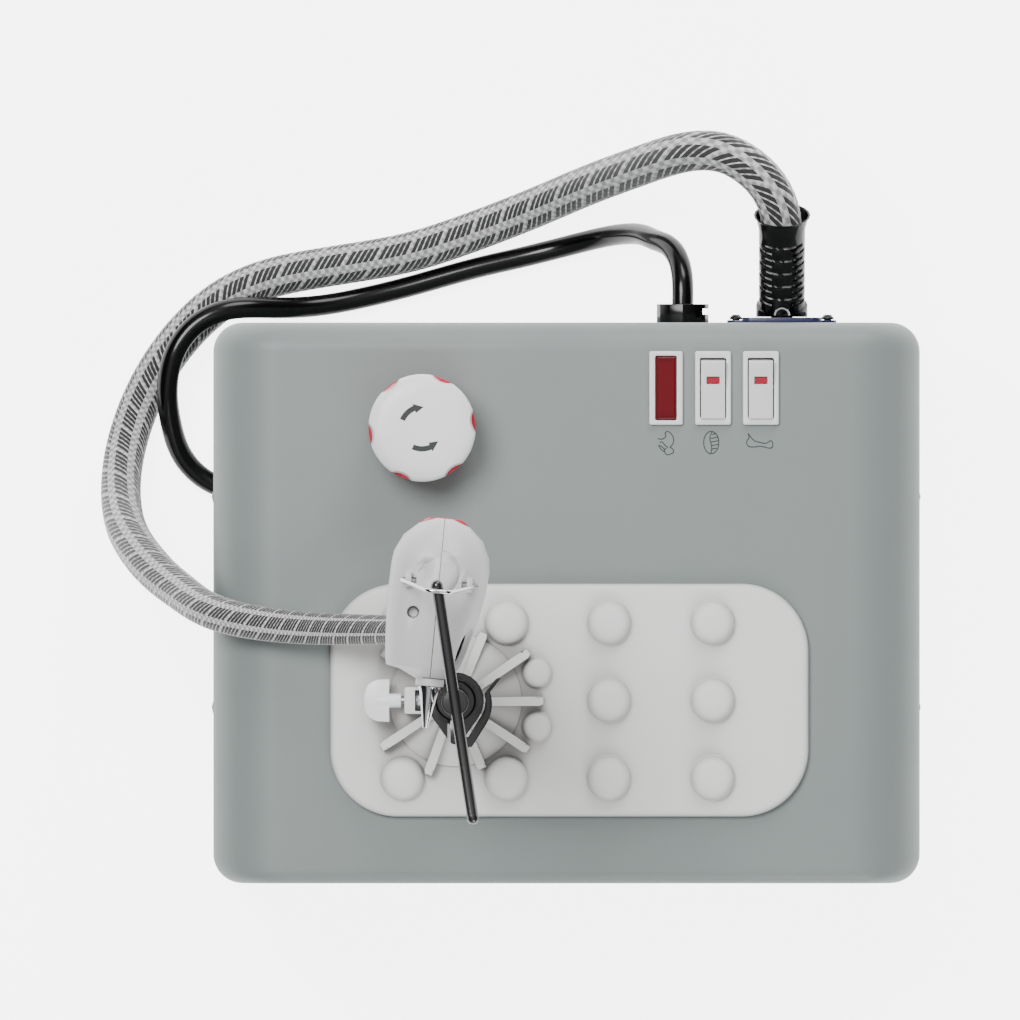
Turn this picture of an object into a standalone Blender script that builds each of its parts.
"""Table-top steam generator with a braided steam hose, a steam gun on a stand and a silicone rest mat.

Metres, +Z up. The origin lies on the standing surface, under the middle of the housing. +X is the side of the
switches, +Y is the rear, where the hose and the mains cord come out.
"""

from math import atan2, cos, degrees, hypot, pi, radians, sin, sqrt, tan

import bmesh
import bpy
import numpy as np
from mathutils import Matrix, Vector

# Gaps and tolerances shared by all pieces
SEAT_GAP = 0.0003
RUNNING_GAP = 0.0004
OVERRUN = 0.002
WELD = 0.000001
SMOOTH_ANGLE = radians(38)

# Segment counts
FINE, ROUND, SMALL, TINY = 32, 24, 16, 10
CORNER_STEPS = 4

# Housing: folded sheet cover over an upside-down pressed tray
BODY_WIDTH = 0.290
BODY_DEPTH = 0.230
BODY_TOP = 0.170
SHEET = 0.0015
PLAN_CORNER = 0.012
SIDE_ROUNDING = 0.028
REAR_ROUNDING = 0.0115
FRONT_ROUNDING = 0.005
FOOT_HEIGHT = 0.013
RECESS_HEIGHT = 0.0445
LIP_WIDTH = 0.012
LIP_CHAMFER = 0.038
FOOT_RADIUS = 0.011
FOOT_TOE_RADIUS = 0.0095
FOOT_INSET = 0.020
FOOT_STEM_RADIUS = 0.0035
FOOT_STEM_HEAD = 0.0012

# Side screws
SIDE_SCREW_Y = (0.0436, -0.0434)
SIDE_SCREW_Z = 0.030
SIDE_SCREW_HEAD_RADIUS = 0.0029
SIDE_SCREW_HEAD_HEIGHT = 0.0012
SIDE_SCREW_RADIUS = 0.0017
SIDE_SCREW_LENGTH = 0.007

# Boiler, lying front to back on two cradles
BOILER_X = -0.0592
BOILER_RADIUS = 0.052
BOILER_FRONT = -0.088
BOILER_REAR = 0.098
BOILER_DISH = 0.012
BOILER_WALL = 0.0016
BOILER_LIFT = 0.008
CRADLE_WIDTH = 0.080
CRADLE_HEIGHT = 0.026
CRADLE_THICKNESS = 0.004
CRADLE_Y = (-0.055, 0.045)
HEATER_FLANGE_RADIUS = 0.024
HEATER_FLANGE_THICKNESS = 0.005
HEATER_TUBE_RADIUS = 0.004
HEATER_TUBE_SPREAD = 0.011
HEATER_TUBE_LENGTH = 0.120
HEATER_HOLE_RADIUS = 0.018
PORT_RADIUS = 0.005
PORT_BOSS_RADIUS = 0.008
PORT_BOSS_HEIGHT = 0.006

# Filler neck and pressure cap
CAP_Y = 0.0717
CAP_RADIUS = 0.022
CAP_HEIGHT = 0.025
CAP_LIFT = 0.003
CAP_DOME_SINK = 0.0045
CAP_WALL = 0.002
CAP_SCALLOPS = 6
CAP_SCALLOP_FIRST = radians(7)
CAP_SCALLOP_RADIUS = 0.0085
CAP_SCALLOP_DEPTH = 0.0020
CAP_CORE_INSET = 0.0006
NECK_RADIUS = 0.0150
NECK_BORE = 0.0105
NECK_TOP = 0.178
PLUG_LENGTH = 0.012
PLUG_FLANGE_HEIGHT = 0.003
SEAL_HEIGHT = 0.0020
CAP_SOCKET_RADIUS = 0.0165

# Lamp and switches, in rectangular cut-outs of one size
PANEL_Y = 0.0881
PANEL_FRAME_DEPTH = 0.0302
PANEL_LIP = 0.0018
PANEL_LIP_OVERLAP = 0.0010
PANEL_BODY_DROP = 0.021
LAMP_X = 0.0407
LAMP_WIDTH = 0.0138
LENS_WIDTH = 0.0082
LENS_DEPTH = 0.0258
LENS_PROUD = 0.0012
LENS_DROP = 0.009
SWITCH_X = (0.0600, 0.0796)
SWITCH_WIDTH = 0.0148
ROCKER_WIDTH = 0.0099
ROCKER_DEPTH = 0.0235
ROCKER_PROUD = 0.0030
ROCKER_DROP = 0.008
ROCKER_TRUNNION_RADIUS = 0.0011
ROCKER_TRUNNION_REACH = 0.0010
ROCKER_SWING = radians(14)
ROCKER_PIVOT_DROP = 0.0045
WINDOW_WIDTH = 0.0048
WINDOW_DEPTH = 0.0026
WINDOW_SHIFT = 0.0039
WINDOW_THICKNESS = 0.0012

# Silicone rest mat
MAT_X = 0.0011
MAT_Y = -0.0398
MAT_WIDTH = 0.196
MAT_DEPTH = 0.0954
MAT_CORNER = 0.0275
MAT_THICKNESS = 0.0042
MAT_EDGE = 0.0018
DOME_RADIUS = 0.0091
DOME_HEIGHT = 0.0058
SMALL_DOME_RADIUS = 0.0063
SMALL_DOME_HEIGHT = 0.0040
DOME_EMBED = 0.001
DOME_SIDES = 14
DOME_COLUMNS = (-0.0672, -0.0246, 0.0174, 0.0598)
DOME_ROWS = (-0.0080, -0.0398, -0.0717)
SMALL_DOMES = ((-0.0121, -0.0286), (-0.0121, -0.0505))

# Ribbed stand socket with its side clamp
STAND_X = -0.0455
STAND_Y = -0.0399
SOCKET_HEIGHT = 0.026
SOCKET_TOP_RADIUS = 0.0102
SOCKET_FOOT_RADIUS = 0.021
SOCKET_FLOOR = 0.006
RIB_REACH = 0.0360
RIB_ANGLES_AND_REACH_SHARES = ((0, 1.00), (34, 1.00), (68, 0.83), (110, 0.90), (147, 1.00), (213, 1.00),
                               (250, 0.90), (292, 0.83), (326, 1.00))
RIB_WIDTH = 0.0030
RIB_TIP_HEIGHT = 0.0045
RIB_ROOT_HEIGHT = 0.0165
RIB_ROOT = 0.0092
RIB_STEPS = 5
SOCKET_BOLT_RADIUS = 0.003
SOCKET_BOLT_HEAD_RADIUS = 0.0065
SOCKET_BOLT_HEAD_HEIGHT = 0.003
SOCKET_BOLT_GRIP = 0.0045
CLAMP_AXIS_LIFT = 0.0094
CLAMP_BOX_WIDTH = 0.0110
CLAMP_BOX_REACH = 0.0210
CLAMP_BOX_RISE = 0.0050
CLAMP_BOX_DROP = 0.0068
NUT_FLATS = 0.0080
NUT_THICKNESS = 0.0022
NUT_REACH = 0.0152
STUD_RADIUS = 0.0019
STUD_OUT = 0.0285
STUD_TRAVEL = 0.0024
STEM_RADIUS = 0.00285
STEM_START = 0.0224
STEM_BORE_GAP = 0.0003
WING_START = 0.0272
WING_END = 0.0375
WING_SPAN = 0.0174
WING_THICKNESS = 0.0042

# Stand pole, flip lock and cross bar
POLE_RADIUS = 0.0080
INNER_POLE_RADIUS = 0.0050
INNER_POLE_WALL = 0.0009
INNER_POLE_SINK = 0.020
POLE_TOP = 0.2122
COLLAR_LOW = 0.2008
COLLAR_HEIGHT = 0.0110
COLLAR_RADIUS = 0.0117
COLLAR_TIP = 0.0179
COLLAR_TIP_RADIUS = 0.0032
COLLAR_SLIT = 0.0012
LEVER_PIVOT = (0.0008, -0.0147)
LEVER_THICKNESS = 0.0054
LEVER_EYE_RADIUS = 0.0026
LEVER_SLOT_RADIUS = 0.0048
LEVER_GAP = 0.0005
LEVER_ROOT_WIDTH = 0.0036
LEVER_TIP_WIDTH = 0.0024
LEVER_HEEL_BACK = 0.0018
LEVER_HEEL_FRONT = 0.0022
LEVER_END = radians(14)
LEVER_FLARE = 0.0078
LEVER_FLARE_ANGLE = radians(52)
LEVER_STEPS = 8
LOCK_PIN_RADIUS = 0.0010
BAR_Z = 0.362
BAR_RADIUS = 0.00235
BAR_BALL_RADIUS = 0.0025
BAR_REAR = 0.0503
BAR_FRONT = 0.0499
BAR_LEAN = radians(8.8)
BAR_SIDES = 12
HUB_RADIUS = 0.0055
HUB_RISE = 0.0012
HUB_DROP = 0.008
SPIGOT_RADIUS = 0.0037
SPIGOT_LENGTH = 0.012

# Steam gun: its own frame has the rear rounding's centre at the origin and the nozzle along -Y
GUN_X = -0.0514
GUN_Y = 0.0152
GUN_Z = 0.325
GUN_YAW = radians(-5.4)
GUN_WALL = 0.002
GUN_PARTING = 0.0003
HEAD_HALF_WIDTH = 0.020
HEAD_HALF_HEIGHT = 0.018
HEAD_REAR = 0.0197
HEAD_FRONT = 0.0455
HEAD_POWER = 2.3
HEAD_REAR_STEPS = 4
HEAD_POINTS = 24
HEAD_SHARES = (
    (0.00, 1.00, 1.00, 1.00),
    (0.22, 1.02, 0.965, 0.985),
    (0.45, 1.01, 0.87, 0.94),
    (0.68, 0.98, 0.73, 0.88),
    (0.86, 0.945, 0.63, 0.80),
    (0.915, 0.91, 0.60, 0.76),
    (0.94, 0.64, 0.50, 0.62),
    (1.00, 0.31, 0.31, 0.34),
)
GRIP_BOTTOM = 0.250
GRIP_HALF_WIDTH = 0.0145
GRIP_HALF_DEPTH = 0.0170
GRIP_TOP_Y = -0.018
GRIP_BOTTOM_Y = -0.026
GRIP_SHARES = ((0.00, 0.86, 0.86), (0.03, 0.93, 0.93), (0.12, 0.97, 0.97), (0.35, 1.00, 1.00),
               (0.60, 0.95, 0.96), (0.80, 0.98, 1.02), (1.00, 1.00, 1.05))
GRIP_WALL_BOTTOM = 0.0025
HOSE_ENTRY_GAP = 0.0011
EAR_X = 0.0125
EAR_Y = -0.0065
EAR_LIFT = 0.016
EAR_THICKNESS = 0.0022
EAR_HALF_LENGTH = 0.003
EAR_RISE = 0.0022
EAR_ROOT = 0.0035
BAIL_RADIUS = 0.0009
BAIL_HOLE_GAP = 0.0004
BAIL_INNER_X = 0.0096
BAIL_OUTER_X = 0.0159
BAIL_APEX_X = 0.0042
BAIL_LEAN = 0.0037
BAIL_BEND = 0.0022
BAIL_SWING = radians(80)
TRIM_RADIUS = 0.0184
TRIM_PROUD = 0.0199
TRIM_LOBE = 0.0007
TRIM_HALF_ANGLE = radians(32)
TRIM_LOBE_ANGLE = radians(19.5)
TRIM_LOBE_WIDTH = radians(7)
TRIM_LOW = -0.0075
TRIM_HIGH = -0.0035
TRIM_STEPS = 16
PANEL_DISC_RADIUS = 0.0093
PANEL_DISC_Y = -0.003
PANEL_DISC_STEP = 0.0005
SCREW_RECESS_X = -0.0093
SCREW_RECESS_Y = -0.0195
SCREW_RECESS_RADIUS = 0.0026
SCREW_RECESS_FLOOR = 0.0095
SCREW_HEAD_RADIUS = 0.0021
SCREW_HEAD_HEIGHT = 0.0014
SCREW_SHANK_RADIUS = 0.0011
SCREW_SHANK_LENGTH = 0.006
GRIP_SCREW_Z = 0.270
TRIGGER_PIVOT_Y = -0.0290
TRIGGER_PIVOT_Z = 0.3115
TRIGGER_WIDTH = 0.0080
TRIGGER_LENGTH = 0.0375
TRIGGER_EYE_RADIUS = 0.0034
TRIGGER_SHARES = ((-0.04, 0.085), (-0.24, 0.070), (-0.38, 0.020), (-0.435, -0.10), (-0.405, -0.28), (-0.375, -0.50),
                  (-0.385, -0.75), (-0.435, -0.97), (-0.40, -1.00), (-0.34, -0.97), (-0.275, -0.75), (-0.255, -0.50),
                  (-0.275, -0.28), (-0.27, -0.14), (-0.04, -0.085))
TRIGGER_PIN_RADIUS = 0.0011
TRIGGER_SWING = radians(9)
NOZZLE_COLLAR_RADIUS = 0.00575
NOZZLE_COLLAR_BACK = -0.0458
NOZZLE_COLLAR_FRONT = -0.0488
NOZZLE_BASE_RADIUS = 0.0047
NOZZLE_TIP_RADIUS = 0.0011
NOZZLE_TIP = -0.0660
NOZZLE_BORE = 0.0006
NOZZLE_TAIL_RADIUS = 0.0030
NOZZLE_TAIL_BACK = -0.0395
GUN_TUBE_RADIUS = 0.0030
GUN_VALVE_RADIUS = 0.0075
GUN_VALVE_FRONT = -0.031
GUN_VALVE_BACK = -0.012

# Rear wall: cord gland, hose flange and slotted sleeve
GLAND_X = 0.0479
GLAND_Z = 0.084
GLAND_RADIUS = 0.0107
GLAND_PROUD = 0.0076
GLAND_THREAD_RADIUS = 0.0078
GLAND_THREAD_LENGTH = 0.010
GLAND_NOTCH_WIDTH = 0.0050
GLAND_NOTCH_LOW = 0.0033
GLAND_NOTCH_HIGH = 0.0058
GLAND_LOBES = 12
GLAND_LOBE_DEPTH = 0.0004
SLEEVE_X = 0.0887
SLEEVE_Z = 0.085
SLEEVE_TILT = radians(26)
SLEEVE_LENGTH = 0.0494
SLEEVE_RADIUS = 0.0095
SLEEVE_BORE = 0.0087
SLEEVE_MOUTH_RADIUS = 0.01175
SLEEVE_MOUTH_LENGTH = 0.0065
SLEEVE_LIP = 0.0009
SLEEVE_COLLAR_RADIUS = 0.0106
SLEEVE_COLLAR_LENGTH = 0.0085
SLEEVE_SIDES = 20
SLEEVE_SLOT_PITCH = 0.0029
SLEEVE_SLOT_WIDTH = 0.0012
SLEEVE_SLOTS = 10
SLEEVE_SLOT_FIRST = 0.0115
SLEEVE_BRIDGE_HALF = 0.0042
FLANGE_WIDTH = 0.0325
FLANGE_HEIGHT = 0.034
FLANGE_THICKNESS = 0.0020
FLANGE_EAR_WIDTH = 0.0450
FLANGE_EAR_HEIGHT = 0.0085
FLANGE_EAR_THICKNESS = 0.0010
FLANGE_CORNER = 0.004
FLANGE_BORE = 0.0080
FLANGE_SCREW_X = 0.0189
FLANGE_SCREW_HEAD_RADIUS = 0.00265
FLANGE_SCREW_HEAD_HEIGHT = 0.0020
FLANGE_SCREW_RADIUS = 0.0015
FLANGE_SCREW_LENGTH = 0.007
CLIP_RADIUS = 0.0029
CLIP_WIRE = 0.0006
CLIP_LIFT = 0.0148
INLET_RADIUS = 0.0045
INLET_GAP = 0.0008
INLET_HEX_RADIUS = 0.0070
INLET_HEX_LENGTH = 0.006
INLET_REACH = 0.0045

# Solenoid valve, pressure switch, steam pipe and terminal block
VALVE_WIDTH = 0.026
VALVE_DEPTH = 0.030
VALVE_HEIGHT = 0.022
COIL_WIDTH = 0.030
COIL_DEPTH = 0.026
COIL_HEIGHT = 0.032
COIL_CORNER = 0.004
PIPE_RADIUS = 0.004
PIPE_PORT_ANGLE = radians(40)
PIPE_PORT_Y = 0.020
PRESSURE_ANGLE = radians(18)
PRESSURE_Y = -0.040
PRESSURE_RADIUS = 0.014
PRESSURE_LENGTH = 0.020
PRESSURE_STEM_RADIUS = 0.005
TERMINAL_X = 0.070
TERMINAL_Y = -0.030
TERMINAL_WIDTH = 0.056
TERMINAL_DEPTH = 0.018
TERMINAL_HEIGHT = 0.016
TERMINAL_POLES = 5
TERMINAL_WELL_RADIUS = 0.0028
TERMINAL_WELL_DEPTH = 0.006

# Mains cord, with its unseen end coiled in the recess below the tray
CORD_DIAMETER = 0.0088
CORD_STEP_DIAMETERS = 2.0
COIL_X = -0.068
COIL_TURN_GAP = 0.0007
COIL_MEAN_RADIUS = 0.048
COIL_TURNS_PER_LAYER = 2.25
COIL_POINTS_PER_TURN = 24
COIL_LIFT = 0.0012
COIL_CLIMB_DIP = 0.0016
COIL_TAIL = 0.052
TIE_WIDTH = 0.007
TIE_WALL = 0.0008
TIE_ANGLE = radians(-150)
PLUG_RADIUS = 0.019
PLUG_LENGTH_BODY = 0.030
PLUG_GRIP_RADIUS = 0.0135
PLUG_GRIP_LENGTH = 0.016
PLUG_RELIEF_RADIUS = 0.0066
PLUG_RELIEF_LENGTH = 0.026
PIN_RADIUS = 0.0024
PIN_LENGTH = 0.019
PIN_SPACING = 0.019
CORD_ROUTE = (
    (0.0479, 0.1229, 0.0840), (0.0479, 0.1315, 0.0830), (0.0466, 0.1400, 0.0780), (0.0426, 0.1466, 0.0690),
    (0.0370, 0.1493, 0.0575), (0.0318, 0.1516, 0.0440), (0.0255, 0.1522, 0.0310), (0.0170, 0.1512, 0.0190),
    (0.0060, 0.1487, 0.0100), (-0.0070, 0.1454, 0.0054), (-0.0210, 0.1420, 0.0046), (-0.0361, 0.1385, 0.0046),
    (-0.0516, 0.1343, 0.0046), (-0.0670, 0.1300, 0.0047), (-0.0827, 0.1262, 0.0054), (-0.0982, 0.1232, 0.0080),
    (-0.1130, 0.1218, 0.0132), (-0.1270, 0.1218, 0.0198), (-0.1415, 0.1205, 0.0240), (-0.1543, 0.1136, 0.0250),
    (-0.1623, 0.1015, 0.0250), (-0.1648, 0.0873, 0.0220), (-0.1632, 0.0732, 0.0148), (-0.1585, 0.0602, 0.0080),
    (-0.1490, 0.0506, 0.0050), (-0.1360, 0.0460, 0.0047), (-0.1200, 0.0455, 0.0048), (-0.1020, 0.0455, 0.0051),
    (-0.0850, 0.0455, 0.0055), (-0.0752, 0.0455, 0.0056),
)

# Steam hose, from inside the sleeve to inside the grip
HOSE_DIAMETER = 0.0165
HOSE_NECK_DIAMETER = 0.0139
HOSE_END_DIAMETER = 0.0102
HOSE_NECK_AT = 0.110
HOSE_FULL_AT = 0.200
HOSE_STEP_DIAMETERS = 1.0
HOSE_ROUTE = (
    (0.0887, 0.1235, 0.0892), (0.0887, 0.1365, 0.0955), (0.0887, 0.1525, 0.1033), (0.0873, 0.1625, 0.1073),
    (0.0821, 0.1726, 0.1088), (0.0741, 0.1802, 0.1072), (0.0645, 0.1850, 0.1029), (0.0545, 0.1860, 0.0962),
    (0.0428, 0.1840, 0.0842), (0.0305, 0.1800, 0.0665), (0.0180, 0.1756, 0.0480), (0.0050, 0.1706, 0.0310),
    (-0.0095, 0.1645, 0.0175), (-0.0265, 0.1577, 0.0100), (-0.0455, 0.1507, 0.0085), (-0.0645, 0.1448, 0.0085),
    (-0.0842, 0.1410, 0.0085), (-0.1040, 0.1378, 0.0085), (-0.1238, 0.1335, 0.0085), (-0.1422, 0.1250, 0.0085),
    (-0.1568, 0.1122, 0.0085), (-0.1686, 0.0965, 0.0085), (-0.1770, 0.0798, 0.0100), (-0.1818, 0.0645, 0.0165),
    (-0.1838, 0.0505, 0.0300), (-0.1834, 0.0394, 0.0490), (-0.1815, 0.0313, 0.0678), (-0.1779, 0.0241, 0.0862),
    (-0.1726, 0.0171, 0.1042), (-0.1658, 0.0103, 0.1217), (-0.1576, 0.0040, 0.1398), (-0.1510, -0.0006, 0.1555),
    (-0.1428, -0.0044, 0.1682), (-0.1310, -0.0074, 0.1766), (-0.1170, -0.0094, 0.1808), (-0.1010, -0.0105, 0.1855),
    (-0.0860, -0.0108, 0.1960), (-0.0730, -0.0108, 0.2100), (-0.0625, -0.0108, 0.2255), (-0.0559, -0.01075, 0.2405),
    (-0.05385, -0.0107, 0.2520),
)

# Levels and places worked out from the sizes above
COVER_BOTTOM = FOOT_HEIGHT + SEAT_GAP
PLATE_TOP = RECESS_HEIGHT + SHEET
TANK_Z = PLATE_TOP + BOILER_LIFT + BOILER_RADIUS
MAT_BASE = BODY_TOP + SEAT_GAP
MAT_TOP = MAT_BASE + MAT_THICKNESS
SOCKET_BASE = MAT_TOP + SEAT_GAP
CLAMP_Z = MAT_TOP + CLAMP_AXIS_LIFT
CAP_BASE = BODY_TOP + CAP_LIFT
REAR_WALL = BODY_DEPTH / 2
ALONG_X = Matrix(((0, 0, 1, 0), (1, 0, 0, 0), (0, 1, 0, 0), (0, 0, 0, 1)))
ALONG_Y = Matrix(((1, 0, 0, 0), (0, 0, 1, 0), (0, -1, 0, 0), (0, 0, 0, 1)))
ALONG_Y_UP = Matrix.Rotation(-pi / 2, 4, "X")
ALONG_X_UP = Matrix.Rotation(pi / 2, 4, "Y")
GUN_FRAME = Matrix.Translation((GUN_X, GUN_Y, 0)) @ Matrix.Rotation(GUN_YAW, 4, "Z")


# Shared modelling functions

def at(x, y, z):
    return Matrix.Translation((x, y, z))


def material(name, colour, roughness, metallic=0.0):
    made = bpy.data.materials.get(name)
    if made:
        return made
    made = bpy.data.materials.new(name)
    made.use_nodes = True
    shader = made.node_tree.nodes["Principled BSDF"]
    shader.inputs["Base Color"].default_value = (*colour, 1)
    shader.inputs["Roughness"].default_value = roughness
    shader.inputs["Metallic"].default_value = metallic
    return made


POWDER_COAT = material("powder_coat", (0.33, 0.37, 0.36), 0.5)
GALVANISED = material("galvanised_sheet", (0.45, 0.46, 0.47), 0.4, 0.9)
STAINLESS = material("stainless_steel", (0.60, 0.60, 0.59), 0.3, 1.0)
CHROME = material("chrome", (0.80, 0.80, 0.80), 0.08, 1.0)
BRASS = material("brass", (0.70, 0.50, 0.22), 0.3, 1.0)
COPPER = material("copper", (0.75, 0.38, 0.25), 0.3, 1.0)
WHITE_PLASTIC = material("white_plastic", (0.72, 0.72, 0.71), 0.4)
PALE_PLASTIC = material("pale_grey_plastic", (0.55, 0.55, 0.54), 0.45)
LIGHT_PLASTIC = material("light_switch_plastic", (0.60, 0.60, 0.60), 0.4)
RED_PLASTIC = material("red_plastic", (0.55, 0.02, 0.05), 0.35)
LAMP_RED = material("lamp_red", (0.20, 0.01, 0.03), 0.15)
SILICONE = material("silicone", (0.60, 0.59, 0.57), 0.6)
BLACK_RUBBER = material("black_rubber", (0.015, 0.015, 0.015), 0.3)
BLACK_PLASTIC = material("black_plastic", (0.02, 0.02, 0.02), 0.3)
DARK_PAINT = material("dark_painted_steel", (0.045, 0.045, 0.045), 0.35)
NAVY_PLASTIC = material("navy_plastic", (0.02, 0.02, 0.06), 0.3)
BRAID = material("textile_braid", (0.45, 0.45, 0.45), 0.8)


def build(name, shape, finish=None, place=None):
    """Turn a bmesh into a named object; with no finish it is a cutter or a guide."""
    if place:
        bmesh.ops.transform(shape, matrix=place, verts=shape.verts)
    bmesh.ops.recalc_face_normals(shape, faces=shape.faces)
    mesh = bpy.data.meshes.new(name)
    shape.to_mesh(mesh)
    shape.free()
    obj = bpy.data.objects.new(name, mesh)
    bpy.context.collection.objects.link(obj)
    if finish:
        mesh.materials.append(finish)
        mesh.shade_smooth()
        mesh.set_sharp_from_angle(angle=SMOOTH_ANGLE)
    else:
        obj.hide_render = True
        obj.display_type = "WIRE"
    return obj


def combine(obj, other, operation="DIFFERENCE", solver="EXACT"):
    step = obj.modifiers.new(operation.lower(), "BOOLEAN")
    step.operation = operation
    step.object = other
    step.solver = solver
    return obj


def pivot_at(obj, point):
    """Move the object's origin onto its joint axis and leave the shape where it is."""
    obj.data.transform(Matrix.Translation(-Vector(point)))
    obj.location = point
    return obj


def merged(*shapes):
    """Put several bmeshes into one, as separate bodies."""
    whole = bmesh.new()
    for shape in shapes:
        spare = bpy.data.meshes.new("spare")
        bmesh.ops.recalc_face_normals(shape, faces=shape.faces)
        shape.to_mesh(spare)
        shape.free()
        whole.from_mesh(spare)
        bpy.data.meshes.remove(spare)
    return whole


def moved(shape, place):
    bmesh.ops.transform(shape, matrix=place, verts=shape.verts)
    return shape


def lathe(profile, segments, closed=False):
    """Turn (radius, height) points about Z; an open profile starts and ends on the axis."""
    shape = bmesh.new()
    verts = [shape.verts.new((radius, 0, height)) for radius, height in profile]
    pairs = list(zip(verts, verts[1:]))
    if closed:
        pairs.append((verts[-1], verts[0]))
    edges = [shape.edges.new(pair) for pair in pairs]
    bmesh.ops.spin(shape, geom=verts + edges, cent=(0, 0, 0), axis=(0, 0, 1), angle=2 * pi,
                   steps=segments, use_merge=True)
    bmesh.ops.remove_doubles(shape, verts=shape.verts, dist=WELD)
    return shape


def rod(radius, low, high, segments):
    return lathe([(0, low), (radius, low), (radius, high), (0, high)], segments)


def strut(start, end, radius, segments):
    """Straight rod between two points."""
    run = Vector(end) - Vector(start)
    return moved(rod(radius, 0, run.length, segments),
                 Matrix.Translation(start) @ run.to_track_quat("Z", "Y").to_matrix().to_4x4())


def ring(bore, radius, low, high, segments):
    return lathe([(bore, low), (radius, low), (radius, high), (bore, high)], segments, closed=True)


def prism(outline, low, high):
    shape = bmesh.new()
    floor = [shape.verts.new((x, y, low)) for x, y in outline]
    roof = [shape.verts.new((x, y, high)) for x, y in outline]
    shape.faces.new(floor)
    shape.faces.new(roof)
    for i, corner in enumerate(floor):
        shape.faces.new((floor[i - 1], corner, roof[i], roof[i - 1]))
    return shape


def block(x0, x1, y0, y1, z0, z1):
    return prism([(x0, y0), (x1, y0), (x1, y1), (x0, y1)], z0, z1)


def loft(rings):
    shape = bmesh.new()
    loops = [[shape.verts.new(point) for point in points] for points in rings]
    for lower, upper in zip(loops, loops[1:]):
        for i in range(len(lower)):
            shape.faces.new((lower[i - 1], lower[i], upper[i], upper[i - 1]))
    shape.faces.new(loops[0])
    shape.faces.new(loops[-1])
    bmesh.ops.remove_doubles(shape, verts=shape.verts, dist=WELD)
    return shape


def filleted(corners, steps=CORNER_STEPS):
    """Outline with an arc at each (x, y, radius) corner; a zero radius stays sharp."""
    points = []
    count = len(corners)
    for i, (x, y, radius) in enumerate(corners):
        corner = Vector((x, y))
        if not radius:
            points.append((x, y))
            continue
        back = (Vector(corners[i - 1][:2]) - corner).normalized()
        ahead = (Vector(corners[(i + 1) % count][:2]) - corner).normalized()
        half = back.angle(ahead) / 2
        centre = corner + (back + ahead).normalized() * (radius / sin(half))
        start = corner + back * (radius / tan(half)) - centre
        finish = corner + ahead * (radius / tan(half)) - centre
        first = atan2(start.y, start.x)
        turn = (atan2(finish.y, finish.x) - first + pi) % (2 * pi) - pi
        for k in range(steps + 1):
            angle = first + turn * k / steps
            points.append((centre.x + radius * cos(angle), centre.y + radius * sin(angle)))
    return points


def rectangle(width, depth, radius, x=0, y=0, steps=CORNER_STEPS):
    w, d = width / 2, depth / 2
    return filleted([(x - w, y - d, radius), (x + w, y - d, radius), (x + w, y + d, radius),
                     (x - w, y + d, radius)], steps)


def smooth_route(points, step):
    """Points at an even step along the natural cubic spline through the route's points."""
    p = np.array(points)
    chord = np.linalg.norm(np.diff(p, axis=0), axis=1)
    n = len(p)
    system = np.eye(n)
    load = np.zeros((n, 3))
    for i in range(1, n - 1):
        system[i, i - 1:i + 2] = chord[i - 1], 2 * (chord[i - 1] + chord[i]), chord[i]
        load[i] = 6 * ((p[i + 1] - p[i]) / chord[i] - (p[i] - p[i - 1]) / chord[i - 1])
    bend = np.linalg.solve(system, load)
    fine = []
    for i, h in enumerate(chord):
        for u in np.linspace(0, h, 24, endpoint=False):
            a = h - u
            fine.append((bend[i] * a ** 3 + bend[i + 1] * u ** 3) / (6 * h)
                        + (p[i] / h - bend[i] * h / 6) * a + (p[i + 1] / h - bend[i + 1] * h / 6) * u)
    fine.append(p[-1])
    fine = np.array(fine)
    run = np.concatenate([[0], np.cumsum(np.linalg.norm(np.diff(fine, axis=0), axis=1))])
    stops = np.linspace(0, run[-1], max(2, round(run[-1] / step)) + 1)
    even = np.stack([np.interp(stops, run, fine[:, k]) for k in range(3)], axis=1)
    return even, stops


def tube(name, points, radius, finish, sides_level, radii=None):
    """Curve tube with filled caps; radii are shares of the radius at each point."""
    curve = bpy.data.curves.new(name, "CURVE")
    curve.dimensions = "3D"
    curve.bevel_depth = radius
    curve.bevel_resolution = sides_level
    curve.use_fill_caps = True
    curve.resolution_u = 1
    spline = curve.splines.new("POLY")
    spline.points.add(len(points) - 1)
    for i, point in enumerate(points):
        spline.points[i].co = (*point, 1)
        spline.points[i].radius = radii[i] if radii is not None else 1
    curve.materials.append(finish)
    obj = bpy.data.objects.new(name, curve)
    bpy.context.collection.objects.link(obj)
    return obj


def arc(cx, cy, radius, first, last, steps):
    turn = (last - first) / steps
    return [(cx + radius * cos(first + turn * k), cy + radius * sin(first + turn * k)) for k in range(steps + 1)]


# Housing

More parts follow.
